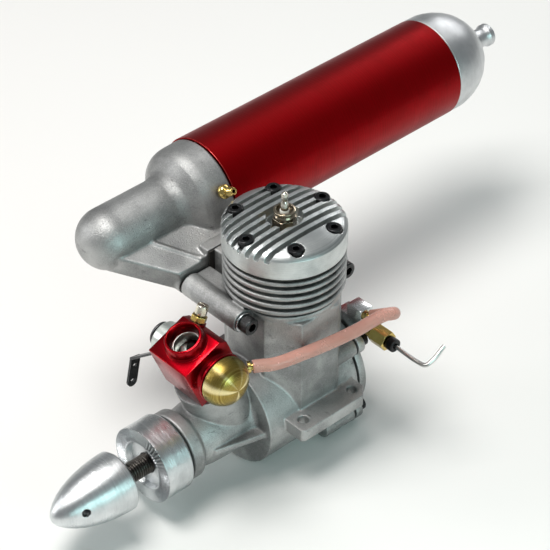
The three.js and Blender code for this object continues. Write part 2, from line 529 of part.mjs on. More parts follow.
// Muffler: the front casting with its web and flange, the expansion tube and the rear cone with its stinger.
{
  const axis = (y) => [MUFFLER_X, y, MUFFLER_Z];
  const nose = [[0, NOSE_Y - DUCT_R]];
  for (let i = 1; i <= 3; i += 1) {
    const a = (i / 4) * Math.PI / 2;
    nose.push([DUCT_R * Math.sin(a), NOSE_Y - DUCT_R * Math.cos(a)]);
  }
  nose.push([DUCT_R, NOSE_Y], [DUCT_R, -11.5], [15.5, -8.6], [18.8, -5.4], [20.2, -0.8], [20.4, TUBE_FRONT - 0.4],
    [18.4, TUBE_FRONT - 0.4], [18.4, TUBE_FRONT + 5], [0, TUBE_FRONT + 5]);
  let casting = turned(nose, axis(0), REAR, 24);
  const flangeX = STACK_X - 0.9;
  // The flat web that narrows from the duct to the flange.
  const web = [[MUFFLER_X - 2, -46], [MUFFLER_X + 6, -46.6], [flangeX - 2, -29], [flangeX, -27.5], [flangeX, 27.5],
    [MUFFLER_X + 4, 8], [MUFFLER_X - 2, 0]];
  const slab = plate(web, -3.6, 6.4);
  const tilt = Math.atan2(MUFFLER_Z - 3 - STACK_Z, flangeX - MUFFLER_X);
  const lean = new THREE.Matrix4().makeTranslation(flangeX, 0, STACK_Z)
    .multiply(new THREE.Matrix4().makeRotationY(tilt))
    .multiply(new THREE.Matrix4().makeTranslation(-flangeX, 0, 0));
  casting = casting.add(slab.transform(lean.elements).subtract(rod(21.6, 40, axis(TUBE_FRONT - 0.5), REAR, 24)));
  casting = casting.add(box(5, 30, 18, [flangeX - 2.5, 0, STACK_Z + 1]));
  casting = casting.add(rod(4.7, 12, [flangeX, -STACK_BOLT_Y, STACK_Z], LEFT, 12));
  casting = casting.add(rod(4.7, 5, [flangeX, STACK_BOLT_Y, STACK_Z], LEFT, 12));
  casting = casting.subtract(box(20, 80, 60, [flangeX + 10, 0, STACK_Z]));
  // Gas path: the port through the flange, the duct and the open end towards the tube.
  casting = casting.subtract(box(28, 15, 8.4, [flangeX - 12, 0, STACK_Z]).transform(lean.elements)
    .intersect(box(60, 60, 60, [MUFFLER_X + 10, 0, STACK_Z])));
  casting = casting.subtract(turned([[0, 0], [6, 1.6], [9.6, 7], [9.6, 30], [16.4, 42], [16.4, 60], [0, 60]],
    axis(NOSE_Y - 4), REAR, 16));
  for (const side of [-1, 1]) {
    casting = casting.subtract(rod(2.25, 16, [flangeX + 1, side * STACK_BOLT_Y, STACK_Z], LEFT, 10));
  }
  const nippleDirection = [Math.cos(Math.PI / 6), 0, 0.5];
  const seat = [MUFFLER_X + 19 * nippleDirection[0], 1.6, MUFFLER_Z + 19 * nippleDirection[2]];
  casting = casting.subtract(rod(1.7, 12, [seat[0] - 5, 1.6, seat[2] - 2.9], nippleDirection, 8));
  put("muffler_casting", casting, "cast");
  put("muffler_tube", ring(MUFFLER_R, MUFFLER_R - 1.2, TUBE_REAR - TUBE_FRONT, axis(TUBE_FRONT), REAR, 28), "redTube");
  put("muffler_end_cap", turned([[18.4, 0], [19.4, 0], [19.4, 6.3], [20.8, 6.3], [20.8, 13], [19, 20.4],
    [13.8, 27.4], [4.8, 33.6], [4, 35.4], [4, 39.6], [4.8, 41.4], [4.8, 43.7], [3.2, 43.7], [3.2, 32.6],
    [11.6, 24.4], [18.4, 11], [18.4, 0]], axis(TIP_Y - 43.7), REAR, 24), "machined");

  const stem = [[0, 0], [1.5, 0], [1.5, 3.4], [2.8, 3.4], [2.8, 5.8], [1.5, 6.6], [1.5, 7.8], [2.1, 8.6],
    [1.4, 10.6], [0.7, 10.6], [0.7, 3], [0, 3]];
  put("pressure_nipple", turned(stem, [seat[0] - 1.4, 1.6, seat[2] - 0.8], nippleDirection, 8), "brass");

  let gasket = box(0.5, 29, 17, [STACK_X - 0.45, 0, STACK_Z + 1]);
  gasket = gasket.subtract(box(4, 15, 8.4, [STACK_X, 0, STACK_Z]));
  put("exhaust_gasket", gasket, "gasket");
  for (const [where, side] of [["front", -1], ["rear", 1]]) {
    const y = side * STACK_BOLT_Y;
    const headFrom = STACK_X + 29.6;
    put(`muffler_bolt_${where}`, turned([[0, 0], [2, 0], [2, 42], [3.4, 42], [3.4, 46], [0, 46]],
      [headFrom + 1.2 - 42, y, STACK_Z], RIGHT, 10), "black");
    put(`muffler_washer_${where}`, ring(4.1, 2.25, 0.7, [headFrom + 0.25, y, STACK_Z], RIGHT, 12), "steel");
  }
}

export default engine;
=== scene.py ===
import math

import bmesh
import bpy
from mathutils import Matrix, Vector


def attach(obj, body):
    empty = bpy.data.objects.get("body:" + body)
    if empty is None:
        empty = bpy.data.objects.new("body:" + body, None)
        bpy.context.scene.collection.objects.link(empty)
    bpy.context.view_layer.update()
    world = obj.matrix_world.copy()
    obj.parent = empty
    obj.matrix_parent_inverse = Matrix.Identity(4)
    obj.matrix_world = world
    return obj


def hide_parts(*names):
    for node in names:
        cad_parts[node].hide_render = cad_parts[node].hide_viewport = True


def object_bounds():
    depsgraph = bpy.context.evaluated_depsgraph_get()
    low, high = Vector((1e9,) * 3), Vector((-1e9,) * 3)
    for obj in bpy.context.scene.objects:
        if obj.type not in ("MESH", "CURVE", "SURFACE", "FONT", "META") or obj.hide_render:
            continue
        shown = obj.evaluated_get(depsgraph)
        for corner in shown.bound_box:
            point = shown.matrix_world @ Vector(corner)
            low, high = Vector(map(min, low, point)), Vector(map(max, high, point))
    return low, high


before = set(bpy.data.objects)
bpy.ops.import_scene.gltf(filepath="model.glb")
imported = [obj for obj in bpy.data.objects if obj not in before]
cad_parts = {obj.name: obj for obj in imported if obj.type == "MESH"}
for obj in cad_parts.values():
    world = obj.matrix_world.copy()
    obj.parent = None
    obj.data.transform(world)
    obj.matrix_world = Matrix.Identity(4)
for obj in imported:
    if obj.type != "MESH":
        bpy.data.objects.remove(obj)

cad_low, cad_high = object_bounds()

# ---- Camera, floor and studio light ---------------------------------------------------------
# The engine is seen from its right front with a long lens, from well above the crankshaft. It
# stands over a pale matt floor, under large soft lights.
MM = 0.001
VIEW_TURN, VIEW_RISE, VIEW_DISTANCE = math.radians(47.59), math.radians(39.10), 0.88081
VIEW_TARGET = Vector((-0.07, -7.64, 52.32)) * MM
towards_camera = Vector((math.sin(VIEW_TURN) * math.cos(VIEW_RISE),
                         -math.cos(VIEW_TURN) * math.cos(VIEW_RISE), math.sin(VIEW_RISE)))

camera = bpy.data.objects.new("camera", bpy.data.cameras.new("camera"))
camera.data.sensor_width = 36
camera.data.lens = 155.5
camera.data.shift_x, camera.data.shift_y = 0.0110, 0.0143
camera.location = VIEW_TARGET + towards_camera * VIEW_DISTANCE
camera.rotation_mode = "QUATERNION"
camera.rotation_quaternion = (-towards_camera).to_track_quat("-Z", "Y")
bpy.context.scene.collection.objects.link(camera)
bpy.context.scene.camera = camera


def soft_light(name, place, size, power, colour):
    """A square area light that faces the cylinder."""
    lamp = bpy.data.lights.new(name, "AREA")
    lamp.shape = "RECTANGLE"
    lamp.size, lamp.size_y = size
    lamp.energy = power
    lamp.color = colour
    light = bpy.data.objects.new(name, lamp)
    light.location = place
    light.rotation_mode = "QUATERNION"
    light.rotation_quaternion = (Vector(place) - VIEW_TARGET).to_track_quat("Z", "Y")
    bpy.context.scene.collection.objects.link(light)


soft_light("overhead_softbox", (-0.10, -0.20, 0.90), (0.42, 0.42), 7.5, (1.0, 0.985, 0.96))
soft_light("left_strip", (-0.75, -0.75, 0.45), (0.25, 0.5), 3.2, (1.0, 1.0, 1.0))
soft_light("right_card", (0.8, -0.1, 0.28), (0.5, 0.35), 2.2, (0.62, 0.97, 0.95))
soft_light("rear_strip", (-0.3, 0.9, 0.6), (0.6, 0.2), 2.4, (1.0, 1.0, 1.0))

world = bpy.data.worlds.new("studio")
world.use_nodes = True
world.node_tree.nodes["Background"].inputs["Color"].default_value = (0.80, 0.84, 0.86, 1)
world.node_tree.nodes["Background"].inputs["Strength"].default_value = 0.30
bpy.context.scene.world = world
bpy.context.scene.view_settings.view_transform = "Standard"


def maths(tree, operation, *terms):
    """A Math node; each term is a number or another node's output."""
    node = tree.nodes.new("ShaderNodeMath")
    node.operation = operation
    for socket, term in zip(node.inputs, terms):
        if isinstance(term, bpy.types.NodeSocket):
            tree.links.new(term, socket)
        else:
            socket.default_value = term
    return node.outputs[0]


def mixed(tree, share, first, second, blend="MIX"):
    """A colour mix; each colour is a tuple or another node's output."""
    node = tree.nodes.new("ShaderNodeMix")
    node.data_type = "RGBA"
    node.blend_type = blend
    for socket, term in ((node.inputs[0], share), (node.inputs[6], first), (node.inputs[7], second)):
        if isinstance(term, bpy.types.NodeSocket):
            tree.links.new(term, socket)
        else:
            socket.default_value = term if isinstance(term, (int, float)) else (*term, 1)
    return node.outputs[2]


def noise(tree, where, scale, detail=3.0, rough=0.55):
    """Three-dimensional noise on a vector."""
    node = tree.nodes.new("ShaderNodeTexNoise")
    node.inputs["Scale"].default_value = scale
    node.inputs["Detail"].default_value = detail
    node.inputs["Roughness"].default_value = rough
    tree.links.new(where, node.inputs["Vector"])
    return node.outputs["Fac"]


def spread(tree, value, low, high, to_low, to_high):
    """A smooth step from one range of values to another."""
    node = tree.nodes.new("ShaderNodeMapRange")
    node.interpolation_type = "SMOOTHSTEP"
    tree.links.new(value, node.inputs["Value"])
    for label, number in (("From Min", low), ("From Max", high), ("To Min", to_low), ("To Max", to_high)):
        node.inputs[label].default_value = number
    return node.outputs["Result"]


def object_place(tree):
    return tree.nodes.new("ShaderNodeTexCoord").outputs["Object"]


def new_material(name):
    material = bpy.data.materials.new(name)
    material.use_nodes = True
    tree = material.node_tree
    return material, tree, tree.nodes["Principled BSDF"]


floor_paint, tree, shader = new_material("pale_floor")
patches = noise(tree, object_place(tree), 3.0)
tree.links.new(mixed(tree, patches, (0.80, 0.79, 0.77), (0.84, 0.835, 0.82)), shader.inputs["Base Color"])
shader.inputs["Roughness"].default_value = 0.75

bm = bmesh.new()
bmesh.ops.create_grid(bm, x_segments=4, y_segments=4, size=3.0)
bmesh.ops.translate(bm, verts=bm.verts, vec=(0, 0, cad_low.z - 0.0004))
floor_mesh = bpy.data.meshes.new("floor")
bm.to_mesh(floor_mesh)
bm.free()
floor_mesh.materials.append(floor_paint)
floor = bpy.data.objects.new("floor", floor_mesh)
bpy.context.scene.collection.objects.link(floor)

# ---- Fuel line -------------------------------------------------------------------------------
# Soft pink silicone tube, 5 mm outside, pushed over a brass barb at each end. It leaves the
# carburettor's inlet, runs back beside the cylinder and turns down on to the rear needle valve.
LINE_R = 2.5
LINE_BORE = 1.25
LINE_BEND_R = 5.2
inlet_from, inlet_to = Vector((16, -33.1, 36.2)), Vector((0.54, 0.84, 0))
outlet_from, outlet_to = Vector((18.9, 24.9, 29.2)), Vector((0.767, 0.548, 0.334))
bend_side = Vector((0.316, -0.775, 0.547))


def bend_point(degrees):
    a = math.radians(degrees)
    start = outlet_from + outlet_to * 7.6
    return start + LINE_BEND_R * (outlet_to * math.sin(a) + bend_side * (1 - math.cos(a)))


line_route = [inlet_from + inlet_to * d for d in (2, 6, 9.6)]
line_route += [Vector((24.3, -14.4, 36.5)), Vector((26.8, -1.6, 36.6)), Vector((28.4, 10, 36.8))]
line_route += [bend_point(a) for a in (140, 105, 70, 35, 0)]
line_route += [outlet_from + outlet_to * d for d in (5, 2)]

line_curve = bpy.data.curves.new("fuel_line_route", "CURVE")
line_curve.dimensions = "3D"
spline = line_curve.splines.new("BEZIER")
spline.bezier_points.add(len(line_route) - 1)
for knot, place in zip(spline.bezier_points, line_route):
    knot.co = place * MM
    knot.handle_left_type = knot.handle_right_type = "AUTO"
spline.resolution_u = 8
centre_line = bpy.data.objects.new("route", line_curve)
bpy.context.scene.collection.objects.link(centre_line)
graph = bpy.context.evaluated_depsgraph_get()
line_path = [tuple(v.co) for v in centre_line.evaluated_get(graph).to_mesh().vertices]
line_curve.bevel_depth = LINE_R * MM
line_curve.bevel_resolution = 8
graph.update()
line_mesh = bpy.data.meshes.new_from_object(centre_line.evaluated_get(graph))
bpy.data.objects.remove(centre_line)

silicone, tree, shader = new_material("silicone")
where = object_place(tree)
cloud = noise(tree, where, 160.0)
dust = noise(tree, where, 1400.0, 2.0)
tint = mixed(tree, cloud, (0.70, 0.34, 0.27), (0.86, 0.50, 0.42))
tree.links.new(mixed(tree, spread(tree, dust, 0.62, 0.75, 0.0, 0.35), tint, (0.5, 0.28, 0.24)),
               shader.inputs["Base Color"])
tree.links.new(spread(tree, cloud, 0.3, 0.7, 0.16, 0.30), shader.inputs["Roughness"])
shader.inputs["Transmission Weight"].default_value = 0.4
shader.inputs["IOR"].default_value = 1.41
ripple = tree.nodes.new("ShaderNodeBump")
ripple.inputs["Strength"].default_value = 0.1
ripple.inputs["Distance"].default_value = 0.00004
tree.links.new(noise(tree, where, 260.0, 1.0), ripple.inputs["Height"])
tree.links.new(ripple.outputs["Normal"], shader.inputs["Normal"])

line_mesh.materials.clear()
line_mesh.materials.append(silicone)
line_mesh.shade_smooth()
fuel_tube = bpy.data.objects.new("fuel_tube", line_mesh)
bpy.context.scene.collection.objects.link(fuel_tube)
wall = fuel_tube.modifiers.new("wall", "SOLIDIFY")
wall.thickness = (LINE_R - LINE_BORE) * MM
wall.offset = -1
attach(fuel_tube, "engine")
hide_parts("fuel_line")

# ---- Crankcase casting -----------------------------------------------------------------------
# One aluminium casting holds the crank chamber, the finned cylinder, the front housing, the beam
# lugs and the exhaust stack. It is bead blasted, and the fins and the bores are machined.
RIGHT, LEFT = Vector((1, 0, 0)), Vector((-1, 0, 0))
FRONT, REAR = Vector((0, -1, 0)), Vector((0, 1, 0))
UP, DOWN = Vector((0, 0, 1)), Vector((0, 0, -1))


def placed(at, direction):
    """The matrix that takes a shape made along +Y to a place and a direction."""
    turn = REAR.rotation_difference(Vector(direction).normalized()).to_matrix().to_4x4()
    return Matrix.Translation(Vector(at)) @ turn


def rough_part(bm):
    """A rough solid in millimetres, as an object that is cut, joined and fitted later."""
    bmesh.ops.recalc_face_normals(bm, faces=bm.faces)
    mesh = bpy.data.meshes.new("rough")
    bm.to_mesh(mesh)
    bm.free()
    part = bpy.data.objects.new("rough", mesh)
    bpy.context.scene.collection.objects.link(part)
    return part


def turned(profile, at, direction, steps=64, ease=0.0):
    """A lathe-turned solid from [radius, distance] pairs, with its corners eased."""
    bm = bmesh.new()
    closed = profile[0] == profile[-1]
    rim = [bm.verts.new((r, d, 0)) for r, d in (profile[:-1] if closed else profile)]
    edges = [bm.edges.new(pair) for pair in zip(rim, rim[1:])]
    if closed:
        bm.edges.new((rim[-1], rim[0]))
    if ease:
        for v in [v for v in rim if v.co.x > 1e-6 and len(v.link_edges) == 2]:
            shortest = min(e.calc_length() for e in v.link_edges)
            bmesh.ops.bevel(bm, geom=[v], offset=min(ease, 0.4 * shortest), offset_type="OFFSET",
                            affect="VERTICES", segments=2, profile=0.5, material=-1)
    bmesh.ops.spin(bm, geom=bm.verts[:] + bm.edges[:], cent=(0, 0, 0), axis=(0, 1, 0), dvec=(0, 0, 0),
                   angle=math.tau, steps=steps, use_merge=True)
    bmesh.ops.remove_doubles(bm, verts=bm.verts, dist=1e-4)
    bmesh.ops.transform(bm, matrix=placed(at, direction), verts=bm.verts)
    return rough_part(bm)


def rod(r, length, at, direction, steps=48, ease=0.0):
    return turned([(0, 0), (r, 0), (r, length), (0, length)], at, direction, steps, ease)


def ring(outer, inner, length, at, direction, steps=64, ease=0.0):
    return turned([(inner, 0), (outer, 0), (outer, length), (inner, length), (inner, 0)],
                  at, direction, steps, ease)


def block(sx, sy, sz, centre, ease=0.0, turn=None):
    """A rectangular block, eased along its edges."""
    bm = bmesh.new()
    bmesh.ops.create_cube(bm, size=1)
    bmesh.ops.scale(bm, vec=(sx, sy, sz), verts=bm.verts)
    if ease:
        bmesh.ops.bevel(bm, geom=bm.edges[:], offset=ease, offset_type="OFFSET", affect="EDGES",
                        segments=2, profile=0.5, material=-1)
    bmesh.ops.transform(bm, matrix=Matrix.Translation(Vector(centre)) @ (turn or Matrix()), verts=bm.verts)
    return rough_part(bm)


def plate(outline, low, high, ease=0.0, turn=None):
    """A flat outline, extruded from one height to another."""
    bm = bmesh.new()
    face = bm.faces.new([bm.verts.new((x, y, low)) for x, y in outline])
    lifted = bmesh.ops.extrude_face_region(bm, geom=[face])["geom"]
    top = [v for v in lifted if isinstance(v, bmesh.types.BMVert)]
    bmesh.ops.translate(bm, vec=(0, 0, high - low), verts=top)
    if ease:
        bmesh.ops.bevel(bm, geom=bm.edges[:], offset=ease, offset_type="OFFSET", affect="EDGES",
                        segments=2, profile=0.5, material=-1)
    if turn:
        bmesh.ops.transform(bm, matrix=turn, verts=bm.verts)
    return rough_part(bm)


def combined(first, joined=(), cut=(), kept=()):
    """Joins solids to the first, cuts others away, and keeps what lies inside the last ones."""
    for operation, others in (("UNION", joined), ("DIFFERENCE", cut), ("INTERSECT", kept)):
        for other in others:
            step = first.modifiers.new("step", "BOOLEAN")
            step.operation, step.solver, step.object = operation, "MANIFOLD", other
    mesh = bpy.data.meshes.new_from_object(first.evaluated_get(bpy.context.evaluated_depsgraph_get()))
    first.modifiers.clear()
    first.data = mesh
    for other in [*joined, *cut, *kept]:
        bpy.data.objects.remove(other)
    return first


def moved(part, matrix):
    part.data.transform(matrix)
    return part


def fettled(part, voxel, passes, share):
    """Rounds a casting's corners and fills its inner corners, as sand and blasting leave them."""
    skin = part.modifiers.new("skin", "REMESH")
    skin.mode, skin.voxel_size, skin.adaptivity = "VOXEL", voxel, 0.0
    soften = part.modifiers.new("soften", "SMOOTH")
    soften.factor, soften.iterations = 0.5, passes
    thin = part.modifiers.new("thin", "DECIMATE")
    thin.ratio = share
    mesh = bpy.data.meshes.new_from_object(part.evaluated_get(bpy.context.evaluated_depsgraph_get()))
    part.modifiers.clear()
    part.data = mesh
    return part


def fitted(name, part, body, finish, slot, *nodes, sharp=32.0):
    """Names a finished part, gives it its finish, and fits it in place of its CAD nodes."""
    bm = bmesh.new()
    bm.from_mesh(part.data)
    bmesh.ops.scale(bm, vec=(MM, MM, MM), verts=bm.verts)
    bmesh.ops.remove_doubles(bm, verts=bm.verts, dist=2e-6)
    bmesh.ops.dissolve_degenerate(bm, edges=bm.edges, dist=1e-6)
    bm.to_mesh(part.data)
    bm.free()
    part.name = part.data.name = name
    part.data.shade_smooth()
    part.data.set_sharp_from_angle(angle=math.radians(sharp))
    part.data.materials.clear()
    part.data.materials.append(finish)
    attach(part, body)
    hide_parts(*nodes)
    return part


def new_group(name, inputs, outputs):
    """A shader node group with named inputs and outputs."""
    group = bpy.data.node_groups.new(name, "ShaderNodeTree")
    for label, kind, value in inputs:
        socket = group.interface.new_socket(label, in_out="INPUT", socket_type="NodeSocket" + kind)
        socket.default_value = value
    for label, kind in outputs:
        group.interface.new_socket(label, in_out="OUTPUT", socket_type="NodeSocket" + kind)
    return group, group.nodes.new("NodeGroupInput").outputs, group.nodes.new("NodeGroupOutput").inputs


# Worn edges and painted crevice shade: where an edge is rubbed bright, and painted shade where the crevices
# shut out the light, blotched like oil and dust.
edge_group, given, result = new_group(
    "worn_edges_and_crevice_shade", [("Radius", "Float", 0.0003), ("Reach", "Float", 0.003)],
    [("Edge", "Float"), ("Crevice_shade_and_grime", "Float"), ("Normal", "Vector")])
rounded = edge_group.nodes.new("ShaderNodeBevel")
rounded.samples = 6
edge_group.links.new(given["Radius"], rounded.inputs["Radius"])
flat = edge_group.nodes.new("ShaderNodeNewGeometry")
likeness = edge_group.nodes.new("ShaderNodeVectorMath")
likeness.operation = "DOT_PRODUCT"
edge_group.links.new(rounded.outputs["Normal"], likeness.inputs[0])
edge_group.links.new(flat.outputs["Normal"], likeness.inputs[1])
open_sky = edge_group.nodes.new("ShaderNodeAmbientOcclusion")
open_sky.samples = 6
edge_group.links.new(given["Reach"], open_sky.inputs["Distance"])
patchy = spread(edge_group, noise(edge_group, object_place(edge_group), 500.0), 0.3, 0.6, 0.45, 1.0)
rub = spread(edge_group, likeness.outputs["Value"], 0.985, 0.90, 0.0, 1.0)
outward = spread(edge_group, open_sky.outputs["AO"], 0.72, 0.9, 0.0, 1.0)
edge_group.links.new(maths(edge_group, "MULTIPLY", maths(edge_group, "MULTIPLY", rub, outward), patchy),
                     result["Edge"])
# Painted shade: the colour darkens where the occlusion test finds a crevice shut in, in blotches like oil and
# dust.
smear = spread(edge_group, noise(edge_group, object_place(edge_group), 260.0), 0.25, 0.7, 0.35, 1.0)
crevice_shade_mask = spread(edge_group, open_sky.outputs["AO"], 0.15, 0.8, 1.0, 0.0)
edge_group.links.new(maths(edge_group, "MULTIPLY", crevice_shade_mask, smear), result["Crevice_shade_and_grime"])
edge_group.links.new(rounded.outputs["Normal"], result["Normal"])

# Blasted skin: the fine pitted grain of a cast surface, with broad cloudy shades.
skin_group, given, result = new_group(
    "blasted_skin", [("Grain", "Float", 2200.0)],
    [("Height", "Float"), ("Shade", "Float"), ("Smudge", "Float")])
place = object_place(skin_group)
grain = skin_group.nodes.new("ShaderNodeTexNoise")
grain.inputs["Detail"].default_value = 4.0
skin_group.links.new(place, grain.inputs["Vector"])
skin_group.links.new(given["Grain"], grain.inputs["Scale"])
pits = skin_group.nodes.new("ShaderNodeTexVoronoi")
pits.inputs["Scale"].default_value = 1500.0
skin_group.links.new(place, pits.inputs["Vector"])
dents = spread(skin_group, pits.outputs["Distance"], 0.05, 0.45, 0.0, 0.6)
skin_group.links.new(maths(skin_group, "ADD", grain.outputs["Fac"], dents), result["Height"])
clouds = noise(skin_group, place, 55.0, 5.0, 0.6)
skin_group.links.new(maths(skin_group, "ADD", maths(skin_group, "MULTIPLY", clouds, 0.75),
                           maths(skin_group, "MULTIPLY", grain.outputs["Fac"], 0.25)), result["Shade"])
streaks = skin_group.nodes.new("ShaderNodeMapping")
streaks.inputs["Scale"].default_value = (90, 150, 320)
streaks.inputs["Rotation"].default_value = (0.4, 0.3, 0.6)
skin_group.links.new(place, streaks.inputs["Vector"])
skin_group.links.new(spread(skin_group, noise(skin_group, streaks.outputs["Vector"], 1.0, 6.0, 0.7),
                            0.60, 0.74, 0.0, 1.0), result["Smudge"])

# Tool marks: the fine rings that a lathe leaves round an axis and across a faced end.
lathe_group, given, result = new_group(
    "tool_marks", [("Centre", "Vector", (0, 0, 0)), ("Axis", "Vector", (0, 1, 0)),
                   ("Pitch", "Float", 9000.0)],
    [("Height", "Float"), ("Shade", "Float")])
offset = lathe_group.nodes.new("ShaderNodeVectorMath")
offset.operation = "SUBTRACT"
lathe_group.links.new(object_place(lathe_group), offset.inputs[0])
lathe_group.links.new(given["Centre"], offset.inputs[1])
along = lathe_group.nodes.new("ShaderNodeVectorMath")
along.operation = "DOT_PRODUCT"
lathe_group.links.new(offset.outputs[0], along.inputs[0])
lathe_group.links.new(given["Axis"], along.inputs[1])
reach = lathe_group.nodes.new("ShaderNodeVectorMath")
reach.operation = "LENGTH"
lathe_group.links.new(offset.outputs[0], reach.inputs[0])
radial = maths(lathe_group, "SQRT", maths(lathe_group, "MAXIMUM", 0.0, maths(
    lathe_group, "SUBTRACT", maths(lathe_group, "POWER", reach.outputs["Value"], 2.0),
    maths(lathe_group, "POWER", along.outputs["Value"], 2.0))))
marks = lathe_group.nodes.new("ShaderNodeTexNoise")
marks.noise_dimensions = "1D"
marks.inputs["Detail"].default_value = 3.0
lathe_group.links.new(maths(lathe_group, "ADD", radial, along.outputs["Value"]), marks.inputs["W"])
lathe_group.links.new(given["Pitch"], marks.inputs["Scale"])
lathe_group.links.new(marks.outputs["Fac"], result["Height"])
wash = noise(lathe_group, object_place(lathe_group), 120.0)
lathe_group.links.new(maths(lathe_group, "ADD", maths(lathe_group, "MULTIPLY", marks.outputs["Fac"], 0.6),
                            maths(lathe_group, "MULTIPLY", wash, 0.4)), result["Shade"])


def metal(name, dark, light, rough, turned_on=None, bump=0.15, worn=None, wear=0.6, shade_and_grime=0.5, radius=0.25,
          coat=0.0, pitch=9000.0, smudges=0.0):
    """A metal finish. turned_on is the centre, in millimetres, and the axis of its tool marks."""
    material, tree, shader = new_material(name)
    edges = tree.nodes.new("ShaderNodeGroup")
    edges.node_tree = edge_group
    edges.inputs["Radius"].default_value = radius * MM
    surface = tree.nodes.new("ShaderNodeGroup")
    surface.node_tree = lathe_group if turned_on else skin_group
    if turned_on:
        surface.inputs["Centre"].default_value = Vector(turned_on[0]) * MM
        surface.inputs["Axis"].default_value = Vector(turned_on[1]).normalized()
        surface.inputs["Pitch"].default_value = pitch
    shade = spread(tree, surface.outputs["Shade"], 0.34, 0.66, 0.0, 1.0)
    colour = mixed(tree, shade, dark, light)
    if smudges:
        colour = mixed(tree, maths(tree, "MULTIPLY", surface.outputs["Smudge"], smudges), colour,
                       tuple(c * 0.28 for c in dark))
    # Painted shade in crevices, blotched like dirt: the colour darkens by the occlusion mask.
    colour = mixed(tree, maths(tree, "MULTIPLY", edges.outputs["Crevice_shade_and_grime"], shade_and_grime), colour,
                   tuple(c * 0.16 for c in dark))
    colour = mixed(tree, maths(tree, "MULTIPLY", edges.outputs["Edge"], wear), colour,
                   worn or tuple(min(1.0, c * 1.35) for c in light))
    tree.links.new(colour, shader.inputs["Base Color"])
    level = spread(tree, surface.outputs["Shade"], 0.3, 0.7, rough + 0.06, rough - 0.05)
    tree.links.new(maths(tree, "SUBTRACT", level, maths(tree, "MULTIPLY", edges.outputs["Edge"], 0.1)),
                   shader.inputs["Roughness"])
    shader.inputs["Metallic"].default_value = 1.0
    shader.inputs["Coat Weight"].default_value = coat
    shader.inputs["Coat Roughness"].default_value = 0.06
    relief = tree.nodes.new("ShaderNodeBump")
    relief.inputs["Strength"].default_value = bump
    relief.inputs["Distance"].default_value = 0.0001
    tree.links.new(surface.outputs["Height"], relief.inputs["Height"])
    tree.links.new(edges.outputs["Normal"], relief.inputs["Normal"])
    tree.links.new(relief.outputs["Normal"], shader.inputs["Normal"])
    return material


cast_aluminium = metal("cast_aluminium", (0.25, 0.25, 0.248), (0.50, 0.50, 0.495), 0.54, bump=1.0,
                       worn=(0.84, 0.85, 0.85), wear=0.85, shade_and_grime=0.45, radius=0.4, smudges=0.75)

CASE_REAR = 19
CORNER_R = 23.4
CORNERS = (45, 135, 225, 315)
FIN_PITCH, FIN_THICK, FIN_R = 3.4, 1.7, 23.2
DECK_Z = 66.4
HEAD_BOLT_R = 19
STACK_X, STACK_Z, STACK_BOLT_Y = -25.4, 45.9, 24.5
CARB_AT, CARB_RAKE = Vector((0, -44.5, 36.6)), math.radians(22)
carb_up = Vector((0, -math.sin(CARB_RAKE), math.cos(CARB_RAKE)))


def polar(r, degrees):
    return r * math.cos(math.radians(degrees)), r * math.sin(math.radians(degrees))


def mirrored(outline, side):
    return outline if side > 0 else [(-x, y) for x, y in reversed(outline)]


side_wall = [(10, -19.4), (21.8, -11), (21.8, 7.4), (12, 18.4)]
cylinder_core = rod(18.9, DECK_Z, (0, 0, 0), UP, 96)
case_parts = [
    turned([(0, 0), (21.8, 0), (21.8, CASE_REAR + 26.6), (0, CASE_REAR + 26.6)], (0, -26.6, 0), REAR, 96),
    plate(side_wall + mirrored(side_wall, -1), 0, 47),
    turned([(0, 0), (15.5, 0), (14.2, 0.8), (13.5, 2.5), (12.9, 18), (12, 24), (14.2, 26), (14.2, 30.6),
            (12.6, 31), (0, 31)], (0, -26.6, 0), FRONT, 96),
    rod(12.3, 24, CARB_AT - carb_up * 36.7, carb_up, 64),
    block(16, 25, 18, (STACK_X + 8, 0, STACK_Z + 1.5)),
]
for i in range(6):
    top = DECK_Z - i * FIN_PITCH
    case_parts.append(rod(FIN_R - (1.2 if i == 5 else 0), FIN_THICK, (0, 0, top - FIN_THICK), UP, 96))
for side in (-1, 1):
    lug = [(14, -19), (30.3, -19), (31.5, -17.8), (31.5, 12), (27.5, 16), (14, 16)]
    case_parts.append(plate(mirrored(lug, side), 0, 5.4))
    gusset = [(4, -47), (13.4, -47), (19.2, -25.6), (4, -25.6)]
    case_parts.append(plate(mirrored(gusset, side), -1.2, 1.4))
    case_parts.append(rod(4.7, 29.6, (STACK_X, side * STACK_BOLT_Y, STACK_Z), RIGHT))
    case_parts.append(block(22, 9, 7, (STACK_X + 11, side * 19, STACK_Z)))
for angle in CORNERS:
    x, z = polar(CORNER_R, angle)
    case_parts.append(rod(4.2, 15, (x, CASE_REAR - 15, z), REAR, 32))

